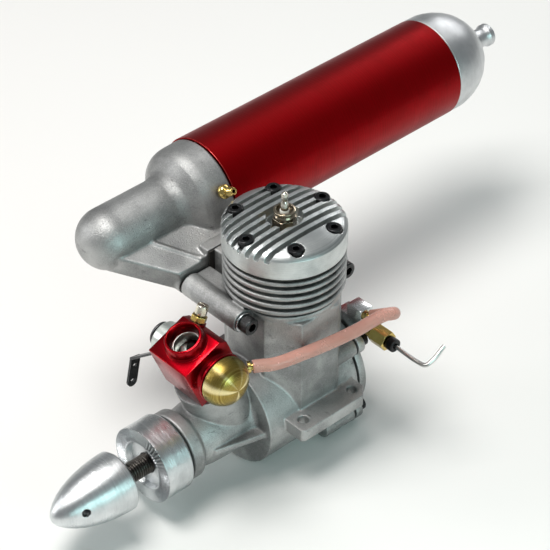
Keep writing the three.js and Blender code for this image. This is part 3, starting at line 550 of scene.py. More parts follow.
case_cuts = [
    rod(18.6, CASE_REAR + 26.3, (0, -21.3, 0), REAR, 64),
    rod(20.8, 9, (0, -4.5, 0), REAR, 64),
    rod(15.35, 80, (0, 0, 12), UP, 64),
    rod(17.2, 5, (0, 0, DECK_Z - 2.2), UP, 64),
    rod(13.4, 6, (0, -26.4, 0), REAR),
    rod(8.9, 40, (0, -52, 0), REAR),
    rod(11.4, 6.4, (0, -57.9, 0), REAR),
    rod(8.3, 18, CARB_AT - carb_up * 19.5, carb_up),
    rod(5.6, 18, CARB_AT - carb_up * 32, carb_up),
    block(37.2, 10, 21, (0, 0, 10.5)),
    block(30, 15, 8.4, (STACK_X + 6, 0, STACK_Z - 0.6)),
    block(16, 12, 24, (12.6, 0, 31.5)),
]
for x in (-26, 26):
    for y in (-14, 11):
        case_cuts.append(rod(2.1, 20, (x, y, -5), UP, 32))
for side in (-1, 1):
    case_cuts.append(rod(2.25, 40, (STACK_X - 2, side * STACK_BOLT_Y, STACK_Z), RIGHT, 32))
    case_cuts.append(rod(5, 12, (STACK_X + 29.6, side * STACK_BOLT_Y, STACK_Z), RIGHT, 32))
for i in range(6):
    x, y = polar(HEAD_BOLT_R, 30 + i * 60)
    case_cuts.append(rod(1.9, 14, (x, y, DECK_Z - 12), UP, 24))
for angle in CORNERS:
    x, z = polar(CORNER_R, angle)
    case_cuts.append(rod(1.65, 20, (x, CASE_REAR - 12, z), REAR, 24))
crankcase = fettled(combined(cylinder_core, case_parts, case_cuts), 0.38, 2, 0.24)
fitted("crankcase_casting", crankcase, "engine", cast_aluminium, "cast_aluminium", "crankcase", sharp=180)

# ---- Cylinder liner, piston, wrist pin, rod and bearings -------------------------------------
# Inside the case: a ground liner with its ports, a turned piston with its pin and rod, and two
# ball bearings that are pressed into the front housing.
ground_steel = metal("ground_steel", (0.40, 0.40, 0.41), (0.62, 0.62, 0.63), 0.24, ((0, 0, 0), UP))
piston_skin = metal("piston_skin", (0.50, 0.50, 0.50), (0.72, 0.72, 0.71), 0.3, ((0, 0, 0), UP))
bearing_steel = metal("bearing_steel", (0.45, 0.45, 0.46), (0.68, 0.68, 0.69), 0.18, ((0, 0, 0), REAR))
for node, finish, slot in (
        ("cylinder_liner", ground_steel, "ground_steel"), ("piston", piston_skin, "machined_aluminium"),
        ("connecting_rod", piston_skin, "machined_aluminium"), ("wrist_pin", ground_steel, "ground_steel"),
        ("rear_bearing", bearing_steel, "ground_steel"), ("front_bearing", bearing_steel, "ground_steel")):
    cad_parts[node].data.materials.clear()
    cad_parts[node].data.materials.append(finish)

# ---- Crankshaft ------------------------------------------------------------------------------
# Hardened steel shaft with a counterweighted web, a crankpin, a hollow journal with the intake
# window, and a blackened 5/16 inch thread that shows between the drive washer and the nut.
THREAD_R = 3.97
THREAD_PITCH = 1.06


thread = []
for i in range(40):
    root = 46.0 + i * THREAD_PITCH
    thread += [(THREAD_R - 0.6, root), (THREAD_R, root + 0.44), (THREAD_R, root + 0.62)]
shaft = turned([(0, 0), (17.9, 0), (17.9, 8.4), (8.5, 8.4), (8.5, 14.6), (8.1, 15), (8.1, 38.4), (4.98, 39),
                (4.98, 45.2), (THREAD_R - 0.6, 45.4), *thread, (3.3, 89.2), (0, 89.2)], (0, -12.6, 0),
                FRONT, 64)
shaft_cuts = [block(16, 12, 20, (side * 18.2, -16.8, 11.2)) for side in (-1, 1)]
shaft_cuts += [rod(5.2, 34, (0, -11.6, 0), FRONT), block(9.4, 10, 12, (0, -37, 6.4))]
shaft = combined(shaft, [rod(3, 8.7, (0, -13.2, 12.2), REAR, 32)], shaft_cuts)
dark_steel = metal("dark_steel", (0.045, 0.04, 0.035), (0.12, 0.11, 0.10), 0.30, ((0, 0, 0), REAR),
                   worn=(0.55, 0.52, 0.48), radius=0.15, wear=0.9)
fitted("crankshaft_steel", shaft, "rotor", dark_steel, "ground_steel", "crankshaft")

# ---- Drive washer ----------------------------------------------------------------------------
# Turned aluminium collar on the shaft. Its front face is a ring of fine radial teeth that grip
# the propeller, round a recess for the thread.
machined_aluminium = metal("turned_bright_aluminium", (0.44, 0.46, 0.47), (0.78, 0.80, 0.81), 0.30,
                           ((0, 0, 0), REAR), bump=0.45, shade_and_grime=0.3)
toothed_aluminium = metal("toothed_aluminium", (0.42, 0.44, 0.45), (0.80, 0.82, 0.83), 0.28,
                          ((0, 0, 0), REAR), bump=0.45, shade_and_grime=0.2, radius=0.05)
TEETH = 56
TOOTH_DEPTH = 0.8
washer = turned([(4.3, 0), (13.9, 0), (15.2, 0.9), (15.5, 1.4), (15.5, 12.9), (15.2, 13.2), (10.2, 13.2),
                 (9.7, 13.0), (8.9, 10.7), (4.3, 10.7), (4.3, 0)], (0, -58.2, 0), FRONT, TEETH * 2)
bm = bmesh.new()
bm.from_mesh(washer.data)
for v in bm.verts:
    face_ring = v.co.y < -71.1 and math.hypot(v.co.x, v.co.z) > 10
    if face_ring and round(math.atan2(v.co.z, v.co.x) / math.tau * TEETH * 2) % 2:
        v.co.y += TOOTH_DEPTH
bm.to_mesh(washer.data)
bm.free()
fitted("drive_washer_turned", washer, "rotor", toothed_aluminium, "machined_aluminium", "drive_washer",
       sharp=20)

# ---- Spinner nut -----------------------------------------------------------------------------
# Bright turned aluminium cone with a blunt tip. It screws on the shaft to clamp the propeller,
# and a small cross hole takes a tommy bar.
nut = turned([(0, 0), (11.3, 0), (12.05, 0.8), (12.05, 3.4), (11.9, 6), (11.5, 9.4), (10.85, 13.4),
              (9.9, 17.4), (8.7, 21),
              (7.2, 24.4), (5.4, 27.4), (3.6, 29.6), (1.9, 31), (0.8, 31.4), (0, 31.5)], (0, -82.4, 0),
              FRONT, 128)
nut = combined(nut, cut=[turned([(0, 0), (5.1, 0), (4.27, 1), (4.27, 22), (0, 22)], (0, -81.4, 0), FRONT,
                                48),
                         rod(1.6, 30, (-14.1, -104, -5), (0.943, 0, 0.333), 32)])
fitted("spinner_nut_turned", nut, "rotor", machined_aluminium, "machined_aluminium", "spinner_nut")

# ---- Backplate, gasket and screws ------------------------------------------------------------
# Cast cover that closes the rear of the crank chamber, with a thin fibre gasket behind it and a
# black socket screw in each corner.
cover = rod(21.8, 3.4, (0, CASE_REAR + 0.9, 0), REAR, 96, 0.4)
cover_parts = [rod(18.3, 9, (0, 12, 0), REAR, 64)]
cover_cuts = [rod(15.5, 8, (0, 10, 0), REAR, 64), ring(16.4, 15.6, 3, (0, CASE_REAR + 4.0, 0), REAR)]
for angle in CORNERS:
    x, z = polar(CORNER_R, angle)
    cover_parts.append(rod(4.2, 3.4, (x, CASE_REAR + 0.9, z), REAR, 48, 0.4))
    cover_cuts.append(rod(1.7, 20, (x, CASE_REAR - 3, z), REAR, 24))
cover = combined(cover, cover_parts, cover_cuts)
fitted("backplate_cover", cover, "engine", cast_aluminium, "cast_aluminium", "backplate")


def fibre(name, dark, light):
    """Pressed gasket sheet: a dull, speckled fibre."""
    material, tree, shader = new_material(name)
    where = object_place(tree)
    specks = noise(tree, where, 2600.0, 4.0)
    tree.links.new(mixed(tree, spread(tree, specks, 0.4, 0.6, 0, 1), dark, light),
                   shader.inputs["Base Color"])
    tree.links.new(spread(tree, specks, 0.3, 0.7, 0.65, 0.85), shader.inputs["Roughness"])
    relief = tree.nodes.new("ShaderNodeBump")
    relief.inputs["Strength"].default_value = 0.4
    relief.inputs["Distance"].default_value = 0.0001
    tree.links.new(specks, relief.inputs["Height"])
    tree.links.new(relief.outputs["Normal"], shader.inputs["Normal"])
    return material


gasket_fibre = fibre("gasket_fibre", (0.012, 0.011, 0.010), (0.045, 0.040, 0.034))
fitted("backplate_gasket_ring", ring(19.5, 18.7, 0.5, (0, CASE_REAR + 0.2, 0), REAR, 96), "engine",
       gasket_fibre, "gasket", "backplate_gasket")

black_oxide = metal("black_oxide", (0.018, 0.018, 0.019), (0.05, 0.05, 0.052), 0.34, bump=0.25, radius=0.15,
                    worn=(0.30, 0.30, 0.31), wear=0.7, shade_and_grime=0.3)


def socket_screw(shank, head, at, direction, sides=48):
    """A socket-head cap screw: plain shank, knurled head with a hexagon socket. shank and head
    are (radius, length) pairs, and the shank starts at the point."""
    (r, length), (head_r, head_length) = shank, head
    screw = turned([(0, 0), (r - 0.2, 0), (r, 0.3), (r, length), (head_r, length),
                    (head_r, length + head_length * 0.9),
                    (head_r - head_length * 0.1, length + head_length), (0, length + head_length)], at,
                    direction, sides)
    top = Vector(at) + Vector(direction) * length
    grooves = []
    bm = bmesh.new()
    count = 28
    for i in range(count):
        tooth = bmesh.ops.create_cone(bm, cap_ends=True, segments=4, radius1=head_r * 0.075,
                                      radius2=head_r * 0.075, depth=head_length * 0.66)["verts"]
        bmesh.ops.rotate(bm, verts=tooth, matrix=Matrix.Rotation(math.pi / 2, 3, "X"))
        bmesh.ops.translate(bm, verts=tooth, vec=(head_r * 1.03, head_length * 0.46, 0))
        bmesh.ops.rotate(bm, verts=tooth, matrix=Matrix.Rotation(math.tau * i / count, 3, "Y"))
    bmesh.ops.transform(bm, matrix=placed(top, direction), verts=bm.verts)
    grooves.append(rough_part(bm))
    socket = rod(head_r * 0.56, head_length * 0.62, top + Vector(direction) * head_length * 0.45,
                 direction, 6)
    return combined(screw, cut=[*grooves, socket])


for i, angle in enumerate(CORNERS):
    x, z = polar(CORNER_R, angle)
    fitted(f"backplate_cap_screw_{i + 1}", socket_screw((1.45, 13.4), (2.7, 3), (x, CASE_REAR - 8.9, z),
                                                        REAR),
           "engine", black_oxide, "black_oxide", f"backplate_screw_{i + 1}")

# ---- Cylinder head, gasket and bolts ---------------------------------------------------------
# Turned aluminium head with a polished band. Ball-ended slots are milled across its crown, with a
# spot-faced seat for the glow plug and a counterbore for each of the six black bolts.
HEAD_R = 23.4
HEAD_FOOT = 65.2
head = turned([(0, 0), (13.25, 0), (13.25, 2.9), (23.1, 2.9), (HEAD_R, 3.2), (HEAD_R, 11), (22.9, 11.7),
               (21.2, 13.1), (16, 14.0), (8, 14.55), (0, 14.7)], (0, 0, HEAD_FOOT), UP, 128)
slot_tools = []
for i in range(9):
    x = -17.4 + i * 3.7
    slot_tools.append(combined(rod(0.98, 60, (x, -30, 76.0), REAR, 24), [block(1.96, 60, 8, (x, 0, 80.0))]))
head = combined(head, cut=slot_tools)
bosses = [rod(8, 6, (0, 0, 70), UP, 64)]
head_cuts = [turned([(0, 0), (7, 0), (7, 9), (0, 9)], (0, 0, 73.3), UP, 64),
             rod(3.3, 20, (0, 0, 60), UP, 32),
             turned([(0, 0), (9.5, 0), (7.4, 2.6), (3.6, 3.8), (0, 3.8)], (0, 0, 65.1), UP, 48)]
for i in range(6):
    x, y = polar(HEAD_BOLT_R, 30 + i * 60)
    bosses.append(rod(4, 5.6, (x, y, 70.6), UP, 32))
    head_cuts += [rod(3.25, 8, (x, y, 76), UP, 32), rod(1.9, 20, (x, y, 60), UP, 24)]
head = combined(head, bosses, head_cuts, [rod(HEAD_R, 30, (0, 0, 60), UP, 128)])
head_aluminium = metal("head_aluminium", (0.36, 0.38, 0.38), (0.66, 0.68, 0.67), 0.36, ((0, 0, 0), UP),
                       bump=0.5, worn=(0.88, 0.89, 0.88), shade_and_grime=0.12, wear=0.7, radius=0.3)
fitted("cylinder_head_milled", head, "engine", head_aluminium, "machined_aluminium", "cylinder_head")

seal = ring(22.2, 13.8, 1, (0, 0, DECK_Z + 0.3), UP, 96)
seal = combined(seal, cut=[rod(1.9, 4, (*polar(HEAD_BOLT_R, 30 + i * 60), DECK_Z - 1), UP,
                               24) for i in range(6)])
fitted("head_gasket_ring", seal, "engine", gasket_fibre, "gasket", "head_gasket")

for i in range(6):
    x, y = polar(HEAD_BOLT_R, 30 + i * 60)
    fitted(f"head_cap_screw_{i + 1}", socket_screw((1.7, 19), (2.85, 3), (x, y, 57.2), UP), "engine",
           black_oxide, "black_oxide", f"head_bolt_{i + 1}")

# ---- Glow plug -------------------------------------------------------------------------------
# Steel plug with an 8 mm hexagon, nickel plated above and heat-browned below. A thin centre post
# stands in a white insulator, and a copper washer seals the seat.


def hexagon(flats, length, at, direction, chamfer=0.5):
    """A bar with six flats and a chamfered end."""
    corner = flats / math.sqrt(3)
    tool = turned([(0, 0), (corner - chamfer, 0), (corner + 0.1, chamfer * 0.6),
                   (corner + 0.1, length - chamfer * 0.6),
                   (corner - chamfer, length), (0, length)], at, direction, 48)
    return combined(rod(corner, length, at, direction, 6), kept=[tool])


plug = combined(hexagon(8, 5, (0, 0, 74.4), UP), [
    turned([(0, 0), (2.9, 0), (2.9, 6.4), (3.05, 14.1), (4.1, 14.1), (4.1, 15), (3.6, 15.6), (4.2, 16.4),
            (4.2, 17.2), (3.2, 17.4), (3.2, 15.8), (0, 15.8)], (0, 0, 65.6), UP, 48, 0.1)],
            [rod(2, 24, (0, 0, 66.6), UP, 32)])
plug_nickel = metal("plug_nickel", (0.20, 0.16, 0.11), (0.46, 0.40, 0.31), 0.22, ((0, 0, 0), UP), wear=0.9,
                    worn=(0.85, 0.78, 0.62), radius=0.2)
fitted("glow_plug_shell", plug, "engine", plug_nickel, "ground_steel", "glow_plug_body")
brass = metal("brass", (0.42, 0.29, 0.07), (0.72, 0.55, 0.20), 0.2, ((0, 0, 0), REAR),
              worn=(0.95, 0.80, 0.42))
fitted("glow_plug_seal", ring(4.9, 3.3, 0.7, (0, 0, 73.5), UP, 48, 0.15), "engine", brass, "brass",
       "glow_plug_washer")
ceramic, tree, shader = new_material("insulator")
speck = noise(tree, object_place(tree), 900.0)
tree.links.new(mixed(tree, speck, (0.74, 0.71, 0.64), (0.86, 0.84, 0.78)), shader.inputs["Base Color"])
tree.links.new(spread(tree, speck, 0.3, 0.7, 0.35, 0.5), shader.inputs["Roughness"])
fitted("glow_plug_sleeve", ring(1.75, 1, 13.5, (0, 0, 69.2), UP, 32, 0.15), "engine", ceramic, "insulator",
       "glow_plug_insulator")
post_nickel = metal("post_nickel", (0.42, 0.38, 0.33), (0.78, 0.74, 0.66), 0.2, ((0, 0, 0), UP), radius=0.1)
post = turned([(0, 0), (0.85, 0), (0.85, 14.2), (1.5, 14.2), (1.5, 17), (1, 17.9), (1.1, 18.6),
               (1.4, 19.4), (1.4, 20.4), (1.1, 21.3), (0.5, 21.75), (0, 21.8)], (0, 0, 68.8), UP, 32)
fitted("glow_plug_terminal", post, "engine", post_nickel, "brass", "glow_plug_post")

# ---- Carburettor body ------------------------------------------------------------------------
# Square block of aluminium, milled with a chamfered edge and a round intake neck, then anodised
# red. It leans forward, and its spigot sits in the front housing. The bore is bare metal low down.
CARB_HALF = 10.3
CARB_CHAMFER = 2.6
carb_place = Matrix.Translation(CARB_AT) @ Matrix.Rotation(CARB_RAKE, 4, "X")
h, c = CARB_HALF, CARB_CHAMFER
upright = Matrix(((0, 0, 1, 0), (1, 0, 0, 0), (0, 1, 0, 0), (0, 0, 0, 1)))
carb = plate([(-h, -h), (h, -h), (h, h - c), (h - c, h), (-h, h)], -h, h, 0.25, upright)
carb_parts = [
    turned([(0, 0), (8.3, 0), (7.6, 0.7), (7.25, 4.2), (7.05, 4.55), (6.7, 4.7), (0, 4.7)],
           (0, 0, h - 0.1), UP, 96),
    turned([(0, 0), (7.9, 0), (7.9, 6.6), (9.2, 6.6), (9.2, 9), (0, 9)], (0, 0, -h - 8.4), UP, 64),
    turned([(0, 0), (9.6, 0), (8.1, 0.5), (7.4, 1.4), (7.8, 2.6), (9.2, 3.2), (9.9, 3.7), (9.9, 4.2),
            (9.7, 4.4), (0, 4.4)],
           (h - 0.1, 0, 0), RIGHT, 96),
    rod(3.2, 5, (-4, 6, 6), (0, 1, 1), 32),
]
carb_cuts = [
    turned([(0, 0), (6.6, 0), (6.2, 0.5), (5.5, 2.2), (5.4, 3), (5, 18), (5.4, 40), (0, 40)], (0, 0, 15.2),
           DOWN, 64),
    rod(4.85, 60, (-22, 0, 0), RIGHT, 64),
    rod(1.9, 14, (-4, 3, 3), (0, 1, 1), 24),
]
carb = combined(carb, carb_parts, carb_cuts)
red_anodised = metal("red_anodised", (0.19, 0.0, 0.003), (0.35, 0.001, 0.007), 0.30, bump=0.12, coat=0.15,
                     worn=(0.85, 0.03, 0.03), wear=0.6, shade_and_grime=0.4, radius=0.35)
fitted("carburettor_block", moved(carb, carb_place), "engine", red_anodised, "red_anodised",
       "carburettor_body")
barrel_aluminium = metal("barrel_aluminium", (0.50, 0.53, 0.50), (0.76, 0.79, 0.75), 0.34, (CARB_AT, RIGHT))
bush = combined(turned([(0, 0), (7.3, 0), (7.3, 0.6), (6.7, 1.0), (6.7, 6.6), (6.4, 7.0), (0, 7.0)],
                       (-h, 0, 0), LEFT, 96),
                cut=[rod(4.85, 60, (-22, 0, 0), RIGHT, 64)])
fitted("carburettor_left_bush", moved(bush, carb_place), "engine", barrel_aluminium, "machined_aluminium",
       "carburettor_body")
bare_bore = ring(5.5, 4.95, 5.2, (0, 0, 4.95), UP, 64, 0.2)
fitted("carburettor_bare_bore", moved(bare_bore, carb_place), "engine", barrel_aluminium,
       "machined_aluminium", "carburettor_body")

# ---- Throttle barrel, arm and screw ----------------------------------------------------------
# The barrel turns across the intake and its cross hole lets the air through. A flat steel arm,
# stepped outwards, is held on its left end by a small screw.
barrel_lay = Vector((0, math.sin(math.radians(42)), math.cos(math.radians(42))))
barrel = combined(rod(4.74, 30.6, (-h - 8.2, 0, 0), RIGHT, 64, 0.3),
                  cut=[rod(4.1, 20, barrel_lay * -10, barrel_lay, 48),
                       rod(1.2, 5, (-h - 9, 0, 0), RIGHT, 24)])
fitted("throttle_barrel_turned", moved(barrel, carb_place), "throttle", barrel_aluminium,
       "machined_aluminium", "throttle_barrel")

ARM_LEAN = math.radians(11.6)
hub_x = -h - 8.6 - 0.45
arm = combined(rod(5.0, 0.9, (hub_x + 0.45, 0, 0), LEFT, 64, 0.15), [
    block(0.9, 5, 8, (hub_x, 0, -4.6)),
    block(0.9, 5, 15.2, (hub_x - 5.7, 0, -12.6), 0.0, Matrix.Rotation(math.radians(51.7), 4, "Y")),
    block(0.9, 4.6, 11.4, (hub_x - 11.5, 0, -22.4)),
    rod(2.3, 0.9, (hub_x - 11.05, 0, -28.0), LEFT, 32),
], [rod(1.3, 6, (hub_x + 2.4, 0, 0), LEFT, 24)] + [rod(0.85, 6, (hub_x - 8, 0, z), LEFT,
                                                       24) for z in (-20.6, -27.6)])
arm_steel = metal("arm_steel", (0.035, 0.036, 0.038), (0.11, 0.11, 0.115), 0.36, bump=0.3,
                  worn=(0.5, 0.5, 0.5), radius=0.2)
fitted("throttle_arm_pressed", moved(arm, Matrix.Translation(CARB_AT) @ Matrix.Rotation(-ARM_LEAN, 4, "X")),
       "throttle", arm_steel, "ground_steel", "throttle_arm")
arm_screw = combined(
    turned([(0, 0), (1, 0), (1, 4.6), (2.4, 4.6), (2.4, 5.8), (2.2, 6.15), (1.9, 6.3), (0, 6.3)],
           (hub_x + 3.85, CARB_AT.y, CARB_AT.z), LEFT, 32),
    cut=[block(1.1, 6, 0.6, (hub_x - 2.4, CARB_AT.y, CARB_AT.z))])
fitted("throttle_arm_screw_slotted", arm_screw, "throttle", ground_steel, "ground_steel",
       "throttle_arm_screw")

# ---- Carburettor cap and idle stop -----------------------------------------------------------
# Domed brass cap, turned and polished, over the barrel's right end; its sheen is painted in its colour as
# bright rays round the axis. The idle stop is a slotted brass screw, coloured pale for a painted glare, locked
# by a small hexagon nut.
cap = turned([(0, 0), (9.5, 0), (9.7, 0.25), (9.7, 1.6), (9.55, 2.8), (9.1, 4.2), (8.35, 5.5), (7.3, 6.75),
              (6.0, 7.75), (4.4, 8.55), (2.6, 9.0), (1.2, 9.1), (0, 9.1)], (h + 4.7, 0, 0), RIGHT, 128)
cap_brass = metal("cap_brass", (0.22, 0.15, 0.03), (0.44, 0.33, 0.09), 0.30, (CARB_AT, RIGHT), bump=0.5,
                  shade_and_grime=0.3, worn=(0.8, 0.65, 0.3), wear=0.4)
# Painted highlight: bright wedge-shaped rays round the barrel's axis are mixed into the cap's colour to stand
# for the sheen of its turned face.
tree = cap_brass.node_tree
from_centre = tree.nodes.new("ShaderNodeVectorMath")
from_centre.operation = "SUBTRACT"
tree.links.new(object_place(tree), from_centre.inputs[0])
from_centre.inputs[1].default_value = CARB_AT * MM
across = tree.nodes.new("ShaderNodeSeparateXYZ")
tree.links.new(from_centre.outputs[0], across.inputs[0])
round_axis = maths(tree, "ARCTAN2", across.outputs["Z"], across.outputs["Y"])
painted_highlight_rays = maths(tree, "ADD", maths(tree, "SINE", maths(tree, "MULTIPLY", round_axis, 3.0)),
             maths(tree, "SINE", maths(tree, "MULTIPLY", round_axis, 7.0)))
shader = tree.nodes["Principled BSDF"]
plain = shader.inputs["Base Color"].links[0].from_socket
tree.links.new(mixed(tree, spread(tree, painted_highlight_rays, 0.4, 1.8, 0.0, 0.8), plain, (0.95, 0.82, 0.46)),
               shader.inputs["Base Color"])
fitted("carburettor_cap_domed", moved(cap, carb_place), "engine", cap_brass, "brass", "carburettor_cap")
idle_along = Vector((0, 1, 1)).normalized()
idle_nut = combined(hexagon(5.4, 2.2, (-4, 9.9, 9.9), idle_along),
                    cut=[rod(1.75, 6, (-4, 8.9, 8.9), idle_along, 24)])
fitted("idle_stop_lock_nut", moved(idle_nut, carb_place), "engine", brass, "brass", "idle_stop_nut")
idle_tip = Vector((-4, 6, 6)) + idle_along * 12
idle_screw = combined(
    turned([(0, 0), (1.5, 0), (1.5, 8.2), (2.1, 8.2), (2.3, 8.4), (2.3, 11.7), (2.1, 12), (0, 12)],
           (-4, 6, 6), idle_along, 48),
    cut=[block(6, 0.8, 2.4, idle_tip, 0.0, Matrix.Rotation(math.radians(-45), 4, "X"))])
# Painted highlight: the screw's brass is coloured pale, almost white, to stand for the glare on it.
glare_pale_brass = metal("glare_pale_brass", (0.62, 0.56, 0.43), (0.88, 0.84, 0.72), 0.26, radius=0.15, shade_and_grime=0.4)
fitted("idle_stop_slotted_screw", moved(idle_screw, carb_place), "idle_stop", glare_pale_brass, "brass",
       "idle_stop_screw")

# ---- Rear needle valve -----------------------------------------------------------------------
# A small aluminium block is screwed to the backplate. It holds the brass needle body with its
# black collar, and the needle is a bent length of spring wire.
VALVE = Vector((13.2, 27.2, 22))
valve_block = combined(block(8, 6.4, 10, VALVE + Vector((0, 0, 3.6)), 0.5),
                       [block(7.6, 6.4, 20.4, VALVE + Vector((-5.4, 0, -6.8)), 0.5)],
                       [rod(2.6, 30, VALVE - RIGHT * 8, RIGHT, 32),
                        rod(1.5, 16, VALVE + Vector((-5.4, -8, -12)), REAR, 24)])
valve_aluminium = metal("valve_aluminium", (0.52, 0.54, 0.54), (0.80, 0.82, 0.82), 0.26, (VALVE, UP),
                        bump=0.2, wear=0.8)
fitted("needle_valve_bracket", valve_block, "engine", valve_aluminium, "machined_aluminium",
       "needle_valve_block")
fitted("needle_valve_cap_screw", socket_screw((1.3, 6.9), (2.6, 2.7), VALVE + Vector((-5.4, -3.4, -12)),
                                              REAR), "engine",
       black_oxide, "black_oxide", "needle_valve_screw")
needle_body = combined(hexagon(7, 7.4, VALVE + RIGHT * 8.6, RIGHT), [
    turned([(0, 0), (3, 0), (3, 3.4), (2.6, 3.6), (2.6, 4.4), (0, 4.4)], VALVE + RIGHT * 4.4, RIGHT, 32),
    rod(2.45, 10, VALVE - RIGHT * 3, RIGHT, 32)], [rod(1.1, 30, VALVE - RIGHT, RIGHT, 24)])
valve_brass = metal("valve_brass", (0.42, 0.29, 0.07), (0.72, 0.55, 0.20), 0.2, (VALVE, RIGHT),
                    worn=(0.95, 0.80, 0.42))
fitted("needle_valve_barrel", needle_body, "engine", valve_brass, "brass", "needle_valve_body")
fitted("needle_lock_collar", ring(2.7, 1.2, 3.4, VALVE + RIGHT * 16.3, RIGHT, 48, 0.35), "engine",
       black_oxide, "black_oxide", "needle_collar")

wire_route = [VALVE + Vector(v) for v in ((3, 0, 0), (18, 0, 0), (33.2, 0, 0), (35.2, 0.5, 0.28),
                                          (36, 2.2, 1.2), (36, 9.3, 5.1))]
wire = bpy.data.curves.new("needle_route", "CURVE")
wire.dimensions = "3D"
spline = wire.splines.new("BEZIER")
spline.bezier_points.add(len(wire_route) - 1)
for knot, place in zip(spline.bezier_points, wire_route):
    knot.co = place
    knot.handle_left_type = knot.handle_right_type = "AUTO"
wire.bevel_depth, wire.bevel_resolution, wire.use_fill_caps = 0.85, 6, True
wire_bar = bpy.data.objects.new("wire", wire)
bpy.context.scene.collection.objects.link(wire_bar)
graph = bpy.context.evaluated_depsgraph_get()
bm = bmesh.new()
bm.from_mesh(wire_bar.evaluated_get(graph).to_mesh())
bpy.data.objects.remove(wire_bar)
bmesh.ops.remove_doubles(bm, verts=bm.verts, dist=1e-4)
wire_steel = metal("wire_steel", (0.38, 0.37, 0.36), (0.72, 0.71, 0.69), 0.2, (VALVE, RIGHT), radius=0.1)
fitted("needle_wire", rough_part(bm), "mixture_needle", wire_steel, "ground_steel", "needle")

# ---- Fuel nipples ----------------------------------------------------------------------------
# Two turned brass nipples with saw-tooth barbs. One is the carburettor's inlet, the other is the
# needle valve's outlet, and the silicone tube is pushed over both.


def barbed(at, direction, length, stub):
    """A hollow nipple with barbs, and a short stub that enters the block beside it."""
    barbs = [(0, 0), (2.3, 0), (2.3, 1.2), (1.3, 1.4)]
    d = 2.6
    while d < length - 0.8:
        barbs += [(1.7, d), (1.3, d + 1.4)]
        d += 1.6
    barbs += [(1.1, length), (0.6, length), (0.6, length - 4), (0, length - 4)]
    part = turned(barbs, at, direction, 40)
    return combined(part, [rod(2, 1.7, Vector(at) + Vector((0.3, 0.6, 0)), LEFT, 32)]) if stub else part


inlet_brass = metal("inlet_brass", (0.46, 0.32, 0.09), (0.78, 0.60, 0.24), 0.18, (inlet_from, inlet_to))
fitted("carburettor_inlet_nipple", barbed(inlet_from, inlet_to, 8.4, False), "engine", inlet_brass, "brass",
       "carburettor_fuel_nipple")
outlet_brass = metal("outlet_brass", (0.46, 0.32, 0.09), (0.78, 0.60, 0.24), 0.18, (outlet_from, outlet_to))
fitted("needle_valve_outlet_nipple", barbed(outlet_from, outlet_to, 7, True), "engine", outlet_brass,
       "brass", "needle_valve_nipple")

# ---- Muffler casting -------------------------------------------------------------------------
# Cast aluminium front of the muffler: a round-nosed duct that opens into the tube's ring, and a
# flat web with a raised rib that runs down to the exhaust flange.
MUFFLER_X, MUFFLER_Z, MUFFLER_R = -54, 59.6, 20.9
TUBE_FRONT, TUBE_REAR = 6.3, 128.3
DUCT_R, NOSE_Y = 12.3, -40.2
FLANGE_X = STACK_X - 0.9


def on_axis(y):
    return Vector((MUFFLER_X, y, MUFFLER_Z))


dome = [(DUCT_R * math.sin(math.radians(a)), NOSE_Y - DUCT_R * math.cos(math.radians(a))) for a in range(0,
                                                                                                         90, 6)]
duct = turned(dome + [(DUCT_R, NOSE_Y), (DUCT_R, -14.5), (12.8, -12.2), (14, -10.2), (16.4, -8.2),
                      (18.4, -6.4), (19.5, -4.4),
                      (20.0, -2.6), (20.2, -0.8), (20.4, 5.9), (18.4, 5.9), (18.4, 11.3), (0, 11.3)],
                      on_axis(0), REAR, 128)
web_outline = [(MUFFLER_X - 2, -46), (MUFFLER_X + 6, -46.6), (FLANGE_X - 2, -29), (FLANGE_X, -27.5),
               (FLANGE_X, 27.5), (MUFFLER_X + 4, 8), (MUFFLER_X - 2, 0)]
web_tilt = math.atan2(MUFFLER_Z - 3 - STACK_Z, FLANGE_X - MUFFLER_X)
web_place = (Matrix.Translation((FLANGE_X, 0, STACK_Z)) @ Matrix.Rotation(web_tilt, 4, "Y")
             @ Matrix.Translation((-FLANGE_X, 0, 0)))
web = combined(plate(web_outline, -3.6, 6.2, 0.9, web_place),
               cut=[rod(21.6, 40, on_axis(TUBE_FRONT - 0.5), REAR, 64)])
rib_from, rib_to = Vector((-50.5, -33, 5.9)), Vector((-26.3, -14.7, 5.9))
rib = moved(rod(1.0, (rib_to - rib_from).length, rib_from, rib_to - rib_from, 24), web_place)
knuckles = [moved(rod(1.5, 1.4, p, UP, 24), web_place) for p in (rib_from * 0.12 + rib_to * 0.88,
                                                                 rib_from * 0.9 + rib_to * 0.1)]
muffler_parts = [web, rib, *knuckles, block(5, 30, 18, (FLANGE_X - 2.5, 0, STACK_Z + 1)),
                 rod(4.7, 12, (FLANGE_X, -STACK_BOLT_Y, STACK_Z), LEFT, 48),
                 rod(4.7, 5, (FLANGE_X, STACK_BOLT_Y, STACK_Z), LEFT, 48)]
nipple_to = Vector((math.cos(math.pi / 6), 0, 0.5))
nipple_seat = Vector((MUFFLER_X, 1.6, MUFFLER_Z)) + nipple_to * 19
gas_path = moved(block(28, 15, 8.4, (FLANGE_X - 12, 0, STACK_Z)), web_place)
gas_path = combined(gas_path, kept=[block(60, 60, 60, (MUFFLER_X + 10, 0, STACK_Z))])
muffler_cuts = [block(20, 80, 60, (FLANGE_X + 10, 0, STACK_Z)), gas_path,
                turned([(0, 0), (6, 1.6), (9.6, 7), (9.6, 30), (16.4, 42), (16.4, 60), (0, 60)],
                       on_axis(NOSE_Y - 4), REAR, 64),
                rod(1.7, 12, nipple_seat - Vector((5, 0, 2.9)), nipple_to, 24)]
for side in (-1, 1):
    muffler_cuts.append(rod(2.25, 16, (FLANGE_X + 1, side * STACK_BOLT_Y, STACK_Z), LEFT, 24))
